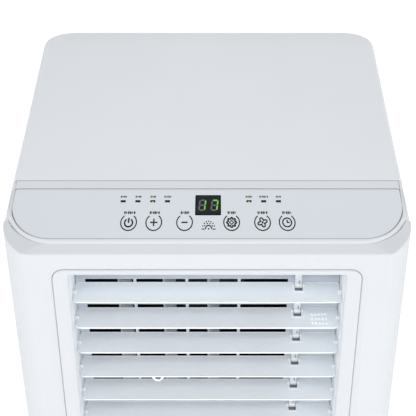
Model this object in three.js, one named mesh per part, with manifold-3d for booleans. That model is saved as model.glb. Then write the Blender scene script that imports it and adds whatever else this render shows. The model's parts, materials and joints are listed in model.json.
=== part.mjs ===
// Portable air conditioner on castors, millimetres, +Z up.
// Origin: middle of the footprint on the floor. The control panel and air outlet face -Y.
import * as THREE from 'three';
import { mergeVertices } from 'three/addons/utils/BufferGeometryUtils.js';
import Module from 'manifold-3d';

const wasm = await Module();
wasm.setup();

// ---------------------------------------------------------------- driving dimensions
const WIDTH = 300;              // over the side walls
const DEPTH = 326;              // front face to back face
const HEIGHT = 680;             // floor to the top of the control panel
const HALF_WIDTH = WIDTH / 2;
const FRONT_Y = -DEPTH / 2;
const BACK_Y = DEPTH / 2;

const CORNER_RADIUS = 54;       // front corners, which stop at a crease on the front face
const CORNER_CENTRE = { x: HALF_WIDTH - CORNER_RADIUS, y: FRONT_Y + 40.1 };
const REAR_RADIUS = 24;
const TOP_FILLET = 5;           // along the sides of the top
const REAR_TOP_FILLET = 18;
const WALL = 2.6;
const GAP = 0.3;                // clearance between neighbouring pieces

const SKIRT_Z = 34;             // lower edge of the base
const FLOOR_Z = 46;             // underside of the base floor
const SHELL_Z = 62;             // seam between base and covers
const SEAM_Y = -78.5;           // seam between front and rear shells
const CAP_Z = 666;              // seam under the top cap

const CHIN_Z = 676.4;           // crease at the top of the front face
const CHIN_RISE = 2.6;
const CHIN_DEPTH = 8.5;         // sloping ledge in front of the panel rim

const PANEL = { halfX: 145.6, front: -149.1, back: -88.6, cornerX: 28, cornerY: 38, rearCorner: 2 };
const RIM_WIDTH = 5.4;
const OVERLAY_TOP = HEIGHT - 0.4;
const OVERLAY_THICKNESS = 0.7;

const DISPLAY = { halfX: 10, front: -122, back: -96.5 };
const KEY_X = [-57.4, -39, -16.5, 17.9, 40.5, 58.5];
const KEY_NAMES = ['power', 'up', 'down', 'mode', 'speed', 'timer'];
const KEY_Y = -130.5;
const KEY_RADIUS = 5;
const KEY_TRAVEL = 0.3;

const FRAME = { halfX: 112, top: 661.3, bottom: 466, corner: 9, thickness: 3 };
const THROAT = { halfX: 100.5, top: 656.7, bottom: 474, back: -97, wall: 2.5 };

const LOUVER = { count: 6, pitch: 25.7, y: -144, topZ: 624, halfX: 99.3, chord: 25, thickness: 1.6, tilt: -3 };
const LOUVER_PIN = { radius: 1.9, length: 2.2 };
const CRANK_RADIUS = 8.5;
const CRANK_PIN = 1.1;
const LINK_X = { low: 66.1, high: 71.1 };
const LINK_THICKNESS = 2.4;

const GUARD = { y: -128.6, thickness: 2, slotTop: 623.6, crossBar: 4 };
const GUARD_COLUMNS = [[-93, -56.4], [-54.2, -16.8], [-14.6, 23], [25.2, 61.3]];

const VANE = { x: [-64.5, -29.8, 4.5], y: -112, chord: 20, thickness: 1.6, turn: -25 };
const VANE_CRANK = 7;
const VANE_LINK_Z = 487;

const CASTOR = { x: 108, y: 122, radius: 19, width: 15, trail: 12 };
const AXLE_RADIUS = 2.4;

const PARTITION_Z = 379;
const EVAP_FAN = { y: 22, z: 520, radius: 78, length: 56 };
const COND_FAN = { y: -6, z: 270, radius: 72, length: 64 };
const COIL = { halfX: 106, front: 108, back: 138 };
const EVAPORATOR = { bottom: 396, top: 636 };
const CONDENSER = { bottom: 66, top: 218 };
const COMPRESSOR = { x: 44, y: -58, bottom: 58, radius: 50 };
const PIPE_OPENING = { x: 126, y: 60, radius: 14 };

const UPPER_GRILLE = { halfX: 112, bottom: 402, top: 622, pull: 30 };
const LOWER_GRILLE = { halfX: 112, bottom: 92, top: 206 };
const EXHAUST = { z: 300, bore: 69, outer: 72.6, flange: 79 };
const HANDLE = { front: 18, back: 112, bottom: 560, top: 604, depth: 25, flange: 11, corner: 10 };
const UPPER_DRAIN = { x: 104, z: 350 };
const LOWER_DRAIN = { x: 84, z: 52.5 };
const CORD_INLET = { x: -96, z: 352, plate: 20, corner: 4 };

// ---------------------------------------------------------------- solids and booleans
function solidOf(geometry) {
  const bare = geometry.index ? geometry.toNonIndexed() : geometry.clone();
  bare.deleteAttribute('normal');
  bare.deleteAttribute('uv');
  const merged = mergeVertices(bare, 1e-4);
  return new wasm.Manifold(new wasm.Mesh({
    numProp: 3,
    vertProperties: new Float32Array(merged.attributes.position.array),
    triVerts: new Uint32Array(merged.index.array),
  }));
}

function geometryOf(solid) {
  const mesh = solid.getMesh();
  const geometry = new THREE.BufferGeometry();
  geometry.setAttribute('position', new THREE.BufferAttribute(mesh.vertProperties, 3));
  geometry.setIndex(new THREE.BufferAttribute(mesh.triVerts, 1));
  const flat = geometry.toNonIndexed();
  flat.computeVertexNormals();
  return flat;
}

function joined(...solids) {
  return solids.reduce((sum, next) => sum.add(next));
}

function cut(solid, ...tools) {
  return tools.reduce((left, tool) => left.subtract(tool), solid);
}

function box(x0, x1, y0, y1, z0, z1) {
  const geometry = new THREE.BoxGeometry(x1 - x0, y1 - y0, z1 - z0);
  geometry.translate((x0 + x1) / 2, (y0 + y1) / 2, (z0 + z1) / 2);
  return solidOf(geometry);
}

// Round bar between two heights along an axis, centred on the other two coordinates in order.
function bar(axis, a, b, radius, from, to, segments = 20) {
  const geometry = new THREE.CylinderGeometry(radius, radius, to - from, segments);
  const middle = (from + to) / 2;
  if (axis === 'x') {
    geometry.rotateZ(Math.PI / 2);
    geometry.translate(middle, a, b);
  } else if (axis === 'y') {
    geometry.translate(a, middle, b);
  } else {
    geometry.rotateX(Math.PI / 2);
    geometry.translate(a, b, middle);
  }
  return solidOf(geometry);
}

// Outline drawn in the plane across the axis: (y, z) for x, (x, z) for y, (x, y) for z.
function slab(axis, shape, from, to, bevel = null) {
  const options = { depth: to - from, bevelEnabled: false, curveSegments: 4 };
  if (bevel) {
    Object.assign(options, { bevelEnabled: true, bevelThickness: bevel.rise, bevelSize: bevel.inset,
      bevelOffset: 0, bevelSegments: bevel.steps });
  }
  const geometry = new THREE.ExtrudeGeometry(shape, options);
  if (axis === 'x') {
    geometry.applyMatrix4(new THREE.Matrix4().set(0, 0, 1, from, 1, 0, 0, 0, 0, 1, 0, 0, 0, 0, 0, 1));
  } else if (axis === 'y') {
    geometry.applyMatrix4(new THREE.Matrix4().set(1, 0, 0, 0, 0, 0, -1, to, 0, 1, 0, 0, 0, 0, 0, 1));
  } else {
    geometry.translate(0, 0, from);
  }
  return solidOf(geometry);
}

function arc(cx, cy, rx, ry, fromDegrees, toDegrees, steps) {
  return Array.from({ length: steps + 1 }, (_, i) => {
    const angle = THREE.MathUtils.degToRad(fromDegrees + (toDegrees - fromDegrees) * i / steps);
    return new THREE.Vector2(cx + rx * Math.cos(angle), cy + ry * Math.sin(angle));
  });
}

function roundedRectangle(x0, x1, y0, y1, radius, steps = 4) {
  return new THREE.Shape([
    ...arc(x1 - radius, y0 + radius, radius, radius, -90, 0, steps),
    ...arc(x1 - radius, y1 - radius, radius, radius, 0, 90, steps),
    ...arc(x0 + radius, y1 - radius, radius, radius, 90, 180, steps),
    ...arc(x0 + radius, y0 + radius, radius, radius, 180, 270, steps),
  ]);
}

// Sheet standing across Y with a grid of slots through it.
function slottedSheet(outline, columns, rows, y0, y1) {
  const slots = columns.flatMap(([x0, x1]) => rows.map(([z0, z1]) => box(x0, x1, y0 - 1, y1 + 1, z0, z1)));
  return cut(slab('y', outline, y0, y1), ...slots);
}

// Round tube along a smooth route.
function tube(points, radius) {
  const path = new THREE.CatmullRomCurve3(points.map((p) => new THREE.Vector3(...p)), false, 'catmullrom', 0.3);
  const section = new THREE.Shape(arc(0, 0, radius, radius, 0, 360, 6).slice(0, -1));
  const geometry = new THREE.ExtrudeGeometry(section, { steps: 20, bevelEnabled: false, extrudePath: path });
  return solidOf(geometry);
}

// ---------------------------------------------------------------- outlines
// Plan outline of the body, drawn in from its outer face by an inset.
function bodyOutline(inset = 0) {
  const front = CORNER_RADIUS - inset;
  const crease = -THREE.MathUtils.radToDeg(Math.asin((CORNER_CENTRE.y - FRONT_Y - inset) / front));
  const rear = REAR_RADIUS - inset;
  const rearX = HALF_WIDTH - REAR_RADIUS;
  const rearY = BACK_Y - REAR_RADIUS;
  const { x, y } = CORNER_CENTRE;
  return new THREE.Shape([
    ...arc(x, y, front, front, crease, 0, 6),
    ...arc(rearX, rearY, rear, rear, 0, 90, 5),
    ...arc(-rearX, rearY, rear, rear, 90, 180, 5),
    ...arc(-x, y, front, front, 180, 180 - crease, 6),
  ]);
}

// Outline of the control panel film: nearly square at the back, wide elliptical corners in front.
function panelOutline(grow = 0) {
  const { halfX, front, back, cornerX, cornerY, rearCorner } = PANEL;
  const edgeX = halfX + grow;
  const rx = cornerX + grow;
  const ry = cornerY + grow;
  const rear = rearCorner;
  return new THREE.Shape([
    ...arc(edgeX - rx, front - grow + ry, rx, ry, -90, 0, 8),
    ...arc(edgeX - rear, back + grow - rear, rear, rear, 0, 90, 2),
    ...arc(-edgeX + rear, back + grow - rear, rear, rear, 90, 180, 2),
    ...arc(-edgeX + rx, front - grow + ry, rx, ry, 180, 270, 8),
  ]);
}

// Plan of the raised panel moulding: the film outline grown by the rim, run back square to the seam.
function mouldingOutline(grow = 0) {
  const { front, cornerX, cornerY, halfX } = PANEL;
  const edgeX = halfX + RIM_WIDTH + grow;
  const rx = cornerX + RIM_WIDTH + grow;
  const ry = cornerY + RIM_WIDTH + grow;
  const frontY = front - RIM_WIDTH - grow;
  const backY = SEAM_Y - GAP / 2 + (grow > 0 ? 2 : 0);
  return new THREE.Shape([
    ...arc(edgeX - rx, frontY + ry, rx, ry, -90, 0, 8),
    new THREE.Vector2(edgeX, backY),
    new THREE.Vector2(-edgeX, backY),
    ...arc(-edgeX + rx, frontY + ry, rx, ry, 180, 270, 8),
  ]);
}

// Outline of a hand grip in (y, z), grown by an amount.
function handleOutline(grow) {
  const { front, back, bottom, top, corner } = HANDLE;
  return roundedRectangle(front - grow, back + grow, bottom - grow, top + grow, corner + grow);
}

// Outline of the cord inlet plate in (x, z), grown by an amount.
function cordPlateOutline(grow) {
  const { x, z, plate, corner } = CORD_INLET;
  const half = plate + grow;
  return roundedRectangle(x - half, x + half, z - half, z + half, corner);
}

// Side profile in (y, z) whose rear top corner is rounded, drawn in from the outer face by an inset.
function sideProfile(inset) {
  const radius = REAR_TOP_FILLET - inset;
  return new THREE.Shape([
    new THREE.Vector2(FRONT_Y - 1, 0),
    new THREE.Vector2(BACK_Y - inset, 0),
    ...arc(BACK_Y - REAR_TOP_FILLET, HEIGHT - REAR_TOP_FILLET, radius, radius, 0, 90, 5),
    new THREE.Vector2(FRONT_Y - 1, HEIGHT - inset),
  ]);
}

// Whole body with its top edges rounded, the rear one more than the sides.
function roundedBody(inset = 0) {
  const fillet = TOP_FILLET - inset;
  const bevel = { rise: fillet, inset: fillet, steps: 4 };
  const block = slab('z', bodyOutline(TOP_FILLET), SHELL_Z, HEIGHT - TOP_FILLET, bevel);
  return block.intersect(slab('x', sideProfile(inset), -HALF_WIDTH - 1, HALF_WIDTH + 1));
}

// ---------------------------------------------------------------- materials and the part
const FINISHES = {
  shell: [0xeef0f3, 0.45, 0],
  film: [0xd8dfe4, 0.25, 0],
  white: [0xf4f6f9, 0.4, 0],
  blade: [0xe2e7ec, 0.42, 0],
  black: [0x16181a, 0.5, 0],
  window: [0x14171a, 0.12, 0],
  board: [0x2c6b46, 0.6, 0],
  key: [0xdfe3e6, 0.5, 0],
  foam: [0xdadcda, 0.9, 0],
  fins: [0xb9bec2, 0.4, 0.9],
  copper: [0xb87a4b, 0.3, 1],
  steel: [0x23262a, 0.45, 0.6],
  tyre: [0x3a3d40, 0.8, 0],
  filter: [0x5d6a72, 0.9, 0],
};

const group = new THREE.Group();

function piece(name, solid, finish, place = [0, 0, 0]) {
  const [color, roughness, metalness] = FINISHES[finish];
  const mesh = new THREE.Mesh(geometryOf(solid), new THREE.MeshStandardMaterial({ color, roughness, metalness }));
  mesh.name = name;
  mesh.position.set(...place);
  group.add(mesh);
  return mesh;
}

// ---------------------------------------------------------------- base and castors
function basePan() {
  let pan = slab('z', bodyOutline(0), SKIRT_Z, SHELL_Z - GAP / 2);
  const recess = slab('z', bodyOutline(3), SKIRT_Z - 1, FLOOR_Z);
  const tray = slab('z', bodyOutline(3), FLOOR_Z + 3.5, SHELL_Z + 1);
  pan = cut(pan, recess, tray);
  const { x, z } = LOWER_DRAIN;
  pan = pan.add(box(x - 13, x + 13, BACK_Y - 14, BACK_Y - 0.4, SKIRT_Z, SHELL_Z - GAP / 2));
  for (const sx of [-1, 1]) {
    for (const sy of [-1, 1]) {
      pan = pan.add(bar('z', sx * CASTOR.x, sy * CASTOR.y, 8, FLOOR_Z + 1, 60, 10));
    }
  }
  for (const degrees of [90, 210, 330]) {
    const angle = THREE.MathUtils.degToRad(degrees);
    const postX = COMPRESSOR.x + 52 * Math.cos(angle);
    const postY = COMPRESSOR.y + 52 * Math.sin(angle);
    pan = pan.add(bar('z', postX, postY, 8, FLOOR_Z + 1, COMPRESSOR.bottom - GAP, 8));
  }
  for (const side of [-1, 1]) {
    const ribX = side * (COIL.halfX - 10);
    pan = pan.add(box(ribX - 3, ribX + 3, COIL.front, COIL.back, FLOOR_Z + 1, CONDENSER.bottom - GAP));
  }
  for (const sx of [-1, 1]) {
    for (const sy of [-1, 1]) {
      pan = pan.subtract(bar('z', sx * CASTOR.x, sy * CASTOR.y, 4.3, FLOOR_Z - 1, 57, 10));
    }
  }
  return cut(pan, bar('y', x, z, 8.6, BACK_Y - 4.5, BACK_Y + 1, 16), bar('y', x, z, 3.6, BACK_Y - 16, BACK_Y, 10));
}
piece('base_pan', basePan(), 'shell');

function castorFork() {
  const { radius, width, trail } = CASTOR;
  const legInner = width / 2 + 0.6;
  const crownZ = radius * 2 + 1.4;
  const leg = new THREE.Shape([
    ...arc(-trail, radius, 5, 5, 200, 340, 4),
    new THREE.Vector2(9, crownZ + 1),
    new THREE.Vector2(-11, crownZ + 1),
  ]);
  return joined(
    bar('z', 0, 0, 3.9, crownZ, 56.5, 10),
    bar('z', 0, 0, 11.5, crownZ, crownZ + 3, 12),
    bar('z', 0, 0, 6.5, crownZ + 2, FLOOR_Z - GAP, 10),
    box(-legInner - 2.4, legInner + 2.4, -11, 9, crownZ, crownZ + 2.6),
    slab('x', leg, legInner, legInner + 2.4),
    slab('x', leg, -legInner - 2.4, -legInner),
    bar('x', -trail, radius, AXLE_RADIUS, -legInner - 1, legInner + 1, 10),
  );
}

function castorWheel() {
  const { radius, width } = CASTOR;
  const bore = AXLE_RADIUS + GAP;
  const half = width / 2;
  const profile = [
    [bore, -half], [radius - 5, -half], [radius - 1.2, -half + 1], [radius, -half + 3.5],
    [radius, half - 3.5], [radius - 1.2, half - 1], [radius - 5, half], [bore, half], [bore, -half],
  ].map(([r, y]) => new THREE.Vector2(r, y));
  const geometry = new THREE.LatheGeometry(profile, 18);
  geometry.rotateZ(Math.PI / 2);
  geometry.translate(0, -CASTOR.trail, radius);
  return solidOf(geometry);
}

const fork = castorFork();
const wheel = castorWheel();
const CASTOR_PLACES = [[-1, -1], [1, -1], [-1, 1], [1, 1]];
CASTOR_PLACES.forEach(([sx, sy], i) => {
  const place = [sx * CASTOR.x, sy * CASTOR.y, 0];
  piece(`castor_fork_${i + 1}`, fork, 'black', place);
  piece(`castor_wheel_${i + 1}`, wheel, 'tyre', place);
});

// ---------------------------------------------------------------- covers
function frontCover() {
  const bevel = { rise: CHIN_RISE, inset: CHIN_DEPTH, steps: 1 };
  const outer = slab('z', bodyOutline(CHIN_DEPTH), SHELL_Z, CHIN_Z, bevel)
    .intersect(box(-160, 160, FRONT_Y - 1, SEAM_Y - GAP / 2, SHELL_Z + GAP / 2, HEIGHT));
  const { halfX, top, bottom, corner } = FRAME;
  const opening = roundedRectangle(-halfX - GAP, halfX + GAP, bottom - GAP, top + GAP, corner);
  return cut(
    outer,
    slab('z', bodyOutline(WALL), SHELL_Z - 1, CHIN_Z - 2),
    slab('z', mouldingOutline(GAP), CAP_Z - GAP / 2, HEIGHT + 1),
    box(-160, 160, -124, 0, CAP_Z - GAP / 2, HEIGHT + 1),
    slab('y', opening, FRONT_Y - 1, FRONT_Y + 10),
  );
}
piece('front_cover', frontCover(), 'shell');

function rearCover() {
  const outer = slab('z', bodyOutline(0), SHELL_Z + GAP / 2, CAP_Z - GAP / 2)
    .intersect(box(-160, 160, SEAM_Y + GAP / 2, BACK_Y + 1, 0, HEIGHT));
  const frameGap = 6 + GAP;
  const upper = UPPER_GRILLE;
  const lower = LOWER_GRILLE;
  return cut(
    outer,
    slab('z', bodyOutline(WALL), SHELL_Z - 1, HEIGHT),
    box(-upper.halfX - frameGap, upper.halfX + frameGap, 150, 170, upper.bottom - frameGap, upper.top + frameGap),
    box(-lower.halfX - frameGap, lower.halfX + frameGap, 150, 170, lower.bottom - frameGap, lower.top + frameGap),
    bar('y', 0, EXHAUST.z, EXHAUST.outer + GAP, 150, 170, 28),
    bar('y', UPPER_DRAIN.x, UPPER_DRAIN.z, 10 + GAP, 150, 170, 14),
    slab('y', cordPlateOutline(GAP), 150, 170),
    slab('x', handleOutline(HANDLE.flange + GAP), -170, 170),
  );
}
piece('rear_cover', rearCover(), 'shell');

function topCover() {
  const cap = box(-160, 160, SEAM_Y + GAP / 2, BACK_Y + 1, CAP_Z + GAP / 2, HEIGHT);
  return roundedBody().intersect(cap).subtract(roundedBody(WALL));
}
piece('top_cover', topCover(), 'shell');

function controlMoulding() {
  const body = roundedBody();
  const outer = slab('z', mouldingOutline(0), CAP_Z + GAP / 2, HEIGHT).intersect(body);
  const under = slab('z', mouldingOutline(-3.4), CAP_Z - 2, 677.2)
    .intersect(box(-160, 160, FRONT_Y, SEAM_Y - 3, 0, HEIGHT));
  let moulding = cut(
    outer,
    under,
    slab('z', panelOutline(GAP), OVERLAY_TOP - OVERLAY_THICKNESS - GAP, HEIGHT + 1),
    box(-DISPLAY.halfX - GAP, DISPLAY.halfX + GAP, DISPLAY.front - GAP, DISPLAY.back + GAP, 670, HEIGHT),
  );
  for (const x of KEY_X) {
    moulding = moulding.subtract(bar('z', x, KEY_Y, KEY_RADIUS + 0.4, 670, HEIGHT, 10));
  }
  return moulding;
}
piece('control_moulding', controlMoulding(), 'white');

const film = slab('z', panelOutline(0), OVERLAY_TOP - OVERLAY_THICKNESS, OVERLAY_TOP)
  .subtract(box(-DISPLAY.halfX - GAP, DISPLAY.halfX + GAP, DISPLAY.front - GAP, DISPLAY.back + GAP, 670, HEIGHT));
piece('control_film', film, 'film');

piece('display_window', box(-DISPLAY.halfX, DISPLAY.halfX, DISPLAY.front, DISPLAY.back, 677.4, OVERLAY_TOP), 'window');
piece('display_module', box(-9, 9, DISPLAY.front + 1, DISPLAY.back - 1, 670, 677), 'black');
piece('control_board', box(-80, 80, -140, -92, 668, 669.6), 'board');

const plunger = joined(
  bar('z', 0, 0, KEY_RADIUS, 677, OVERLAY_TOP - OVERLAY_THICKNESS - GAP, 10),
  bar('z', 0, 0, 1.8, 669.6 + GAP + KEY_TRAVEL, 677.5, 6),
);
KEY_NAMES.forEach((name, i) => piece(`key_${name}`, plunger, 'key', [KEY_X[i], KEY_Y, 0]));

// ---------------------------------------------------------------- air outlet
function outletFrame() {
  const { halfX, top, bottom, corner, thickness } = FRAME;
  const t = THROAT;
  const face = slab('y', roundedRectangle(-halfX, halfX, bottom, top, corner), FRONT_Y, FRONT_Y + thickness);
  const duct = box(-t.halfX - t.wall, t.halfX + t.wall, FRONT_Y + 1, t.back, t.bottom - t.wall, t.top + t.wall);
  let frame = cut(
    joined(face, duct),
    box(-t.halfX, t.halfX, FRONT_Y - 1, t.back + 1, t.bottom, t.top),
  );
  for (let i = 0; i < LOUVER.count; i += 1) {
    const z = LOUVER.topZ - i * LOUVER.pitch;
    frame = frame.subtract(bar('x', LOUVER.y, z, LOUVER_PIN.radius + GAP, -t.halfX - 2, t.halfX + 2, 8));
  }
  for (const x of VANE.x) {
    frame = frame.subtract(bar('z', x, VANE.y, 1.9, t.bottom - 2, t.top + 2, 8));
  }
  return frame;
}
piece('outlet_frame', outletFrame(), 'white');

function outletGuard() {
  const t = THROAT;
  const outline = roundedRectangle(-t.halfX + GAP, t.halfX - GAP, t.bottom + GAP, t.top - GAP, 1, 1);
  const rows = Array.from({ length: LOUVER.count }, (_, i) => {
    const top = GUARD.slotTop - i * LOUVER.pitch;
    return [Math.max(top - LOUVER.pitch + GUARD.crossBar, t.bottom + GUARD.crossBar), top];
  });
  return slottedSheet(outline, GUARD_COLUMNS, rows, GUARD.y, GUARD.y + GUARD.thickness);
}
piece('outlet_guard', outletGuard(), 'white');

// Blade section in (y, z) about its pivot: a very shallow dish with a rounded front lip.
function louverSolid() {
  const { chord, thickness, halfX, tilt } = LOUVER;
  const half = chord / 2;
  const sag = 0.3;
  const steps = 5;
  const upper = [];
  const lower = [];
  for (let i = 0; i <= steps; i += 1) {
    const y = -half + chord * i / steps;
    const z = sag * (y / half) ** 2 - sag / 2;
    upper.push(new THREE.Vector2(y, z + thickness / 2));
    lower.unshift(new THREE.Vector2(y, z - thickness / 2));
  }
  const blade = slab('x', new THREE.Shape([...lower, ...upper]), -halfX, halfX);
  const lip = bar('x', -half + 0.9, sag / 2 + 0.2, 1, -halfX, halfX, 8);
  const pins = bar('x', 0, 0, LOUVER_PIN.radius, -halfX - LOUVER_PIN.length, halfX + LOUVER_PIN.length, 8);
  const pinSpace = box(-halfX + 3, halfX - 3, -4, 4, -4, 4);
  const notch = box(LINK_X.low - 0.6, LINK_X.high + 0.6, 3, half + 2, -5, 5);
  const crank = bar('x', CRANK_RADIUS, 0, CRANK_PIN, LINK_X.low - 1.5, LINK_X.high + 1.5, 6);
  return cut(joined(blade, lip, pins.subtract(pinSpace)), notch)
    .add(crank)
    .rotate([tilt, 0, 0]);
}

const fingerTab = new THREE.Shape([[-5.5, 0], [-2.2, -4.6], [2.2, -4.6], [5.5, 0]].map(([x, z]) => new THREE.Vector2(x, z)));
const TAB_LOUVER = 4;
const TAB_X = -38.7;
const louver = louverSolid();
for (let i = 1; i <= LOUVER.count; i += 1) {
  let blade = louver;
  if (i === TAB_LOUVER) {
    const tab = slab('y', fingerTab, -0.9, 0.9).translate([TAB_X, -LOUVER.chord / 2 + 0.8, 1.2]);
    blade = blade.add(tab);
  }
  piece(`louver_${i}`, blade, 'blade', [0, LOUVER.y, LOUVER.topZ - (i - 1) * LOUVER.pitch]);
}

function crankPoint() {
  const angle = THREE.MathUtils.degToRad(LOUVER.tilt);
  return { y: LOUVER.y + CRANK_RADIUS * Math.cos(angle), dz: CRANK_RADIUS * Math.sin(angle) };
}

function louverLink() {
  const { y, dz } = crankPoint();
  const lowest = LOUVER.topZ - (LOUVER.count - 1) * LOUVER.pitch + dz;
  const highest = LOUVER.topZ + dz;
  const half = LINK_THICKNESS / 2;
  let link = box(LINK_X.low, LINK_X.high, y - half, y + half, lowest - 5, highest + 20);
  for (let i = 0; i < LOUVER.count; i += 1) {
    const z = highest - i * LOUVER.pitch;
    link = link.add(bar('x', y, z, CRANK_PIN + GAP + 1.2, LINK_X.low, LINK_X.high, 8));
  }
  for (let i = 0; i < LOUVER.count; i += 1) {
    const z = highest - i * LOUVER.pitch;
    link = link.subtract(bar('x', y, z, CRANK_PIN + GAP, LINK_X.low - 1, LINK_X.high + 1, 6));
  }
  return link;
}
piece('louver_link', louverLink(), 'white');

// Upright vane about its own pivot axis, with a notch and crank pin for the link near its foot.
function vaneSolid() {
  const { chord, thickness, turn } = VANE;
  const low = THROAT.bottom + 1;
  const high = THROAT.top - 1;
  const half = chord / 2;
  const plate = box(-thickness / 2, thickness / 2, -half, half, low, high);
  const pins = joined(bar('z', 0, 0, 1.6, low - 2.2, low + 3, 8), bar('z', 0, 0, 1.6, high - 3, high + 2.2, 8));
  const notch = box(-3, 3, 3.4, half + 1, VANE_LINK_Z - 3, VANE_LINK_Z + 3);
  const crank = bar('z', 0, VANE_CRANK, CRANK_PIN - 0.3, VANE_LINK_Z - 4, VANE_LINK_Z + 4, 6);
  return cut(joined(plate, pins), notch)
    .add(crank)
    .rotate([0, 0, turn]);
}
const vane = vaneSolid();
VANE.x.forEach((x, i) => piece(`vane_${i + 1}`, vane, 'blade', [x, VANE.y, 0]));

function vaneLink() {
  const angle = THREE.MathUtils.degToRad(VANE.turn);
  const dx = -VANE_CRANK * Math.sin(angle);
  const y = VANE.y + VANE_CRANK * Math.cos(angle);
  const [first, , last] = VANE.x;
  let link = box(first + dx - 4, last + dx + 4, y - 2.2, y + 2.2, VANE_LINK_Z - 1.2, VANE_LINK_Z + 1.2);
  for (const x of VANE.x) {
    link = link.subtract(bar('z', x + dx, y, CRANK_PIN, VANE_LINK_Z - 3, VANE_LINK_Z + 3, 6));
  }
  return link;
}
piece('vane_link', vaneLink(), 'white');

// ---------------------------------------------------------------- cold side
function fanWheel(radius, length, shaftRadius, bladeCount) {
  const hub = new THREE.LatheGeometry([
    [shaftRadius, 0], [radius, 0], [radius, 2], [16, 2], [12, 18], [shaftRadius, 18], [shaftRadius, 0],
  ].map(([r, z]) => new THREE.Vector2(r, z)), 20);
  const ring = new THREE.LatheGeometry([
    [radius - 13, length - 3], [radius, length - 3], [radius, length], [radius - 13, length],
    [radius - 13, length - 3],
  ].map(([r, z]) => new THREE.Vector2(r, z)), 20);
  let wheelSolid = solidOf(hub).add(solidOf(ring));
  for (let i = 0; i < bladeCount; i += 1) {
    const blade = new THREE.BoxGeometry(1.6, length - 2, 13);
    blade.rotateY(THREE.MathUtils.degToRad(28));
    blade.translate(0, length / 2, radius - 7.5);
    blade.rotateY(2 * Math.PI * i / bladeCount);
    wheelSolid = wheelSolid.add(solidOf(blade));
  }
  return wheelSolid;
}

function coldHousing() {
  const { y, z, radius, length } = EVAP_FAN;
  const back = y + length + 12;
  return cut(
    box(-104, 104, THROAT.back + GAP, back, PARTITION_Z + 3 + GAP, 661),
    box(-101, 101, THROAT.back - 1, back - 3, PARTITION_Z + 6, 658),
    bar('y', 0, z, radius - 12, back - 5, back + 1, 24),
  );
}
piece('cold_fan_housing', coldHousing(), 'foam');
const SHAFT_RADIUS = 3;
piece('cold_fan_wheel', fanWheel(EVAP_FAN.radius, EVAP_FAN.length, SHAFT_RADIUS + GAP, 10), 'black',
  [0, EVAP_FAN.y, EVAP_FAN.z]);

function fanMotor(radius, length, shaft) {
  return joined(bar('y', 0, 0, radius, -length, -2, 16), bar('y', 0, 0, 10, -3, 0, 10),
    bar('y', 0, 0, SHAFT_RADIUS, -1, shaft, 8));
}
const coldMotor = joined(
  fanMotor(34, 44, 22),
  box(-100.5, 100.5, -40, -36, -7, 7),
);
piece('cold_fan_motor', coldMotor, 'steel', [0, EVAP_FAN.y - GAP, EVAP_FAN.z]);

// Finned block with the return bends of its tubes standing out of the right-hand end plate.
function finnedCoil(bottom, top) {
  const { halfX, front, back } = COIL;
  const middle = (front + back) / 2;
  const bends = 4;
  const step = (top - bottom) / bends;
  let coil = joined(
    box(-halfX, halfX, front, back, bottom + 3, top - 3),
    box(-halfX - 1.5, -halfX + 0.1, front - 2, back + 2, bottom, top),
    box(halfX - 0.1, halfX + 1.5, front - 2, back + 2, bottom, top),
  );
  for (let i = 0; i < bends; i += 1) {
    const z = bottom + step * (i + 0.5);
    const bend = new THREE.TorusGeometry(step / 4, 3.4, 5, 10);
    bend.rotateY(Math.PI / 2);
    bend.rotateZ(Math.PI / 2);
    bend.translate(halfX + 1, middle, z);
    coil = coil.add(solidOf(bend).intersect(box(halfX, halfX + 40, front, back, bottom, top)));
  }
  return coil;
}
piece('evaporator_coil', finnedCoil(EVAPORATOR.bottom, EVAPORATOR.top), 'fins');

function dripTray() {
  const plate = slab('z', bodyOutline(WALL + 0.6), PARTITION_Z, PARTITION_Z + 3);
  const pool = cut(
    box(-118, 118, 98, 152, PARTITION_Z + 1, PARTITION_Z + 13),
    box(-116, 116, 100, 150, PARTITION_Z + 3, PARTITION_Z + 20),
  );
  const ribs = [-1, 1].map((side) => {
    const x = side * (COIL.halfX - 10);
    return box(x - 3, x + 3, COIL.front, COIL.back, PARTITION_Z + 2, EVAPORATOR.bottom - GAP);
  });
  const pipeHole = bar('z', PIPE_OPENING.x, PIPE_OPENING.y, PIPE_OPENING.radius, PARTITION_Z - 1, PARTITION_Z + 4, 14);
  return cut(joined(plate, pool, ...ribs), pipeHole);
}
piece('drip_tray', dripTray(), 'foam');

// ---------------------------------------------------------------- hot side
function hotHousing() {
  const { y, z, radius, length } = COND_FAN;
  const floorZ = z - 10;
  const roofZ = z + length + 8;
  const outer = new THREE.Shape([
    ...arc(0, y, radius + 20, radius + 12, 180, 360, 12),
    new THREE.Vector2(62, 106),
    new THREE.Vector2(-62, 106),
  ]);
  const inner = new THREE.Shape([
    ...arc(0, y, radius + 18, radius + 10, 180, 360, 12),
    new THREE.Vector2(60, 107),
    new THREE.Vector2(-60, 107),
  ]);
  return cut(
    slab('z', outer, floorZ, roofZ),
    slab('z', inner, floorZ + 2, roofZ - 2),
    bar('z', 0, y, radius - 12, floorZ - 1, floorZ + 3, 20),
    bar('z', 0, y, 12, roofZ - 3, roofZ + 1, 10),
  );
}
piece('hot_fan_housing', hotHousing(), 'foam');

const hotWheel = fanWheel(COND_FAN.radius, COND_FAN.length, SHAFT_RADIUS + GAP, 10)
  .rotate([-90, 0, 0]);
piece('hot_fan_wheel', hotWheel, 'black', [0, COND_FAN.y, COND_FAN.z + COND_FAN.length]);
const hotMotor = fanMotor(34, 26, 22).rotate([-90, 0, 0]);
piece('hot_fan_motor', hotMotor, 'steel', [0, COND_FAN.y, COND_FAN.z + COND_FAN.length + 12]);
piece('condenser_coil', finnedCoil(CONDENSER.bottom, CONDENSER.top), 'fins');

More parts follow.
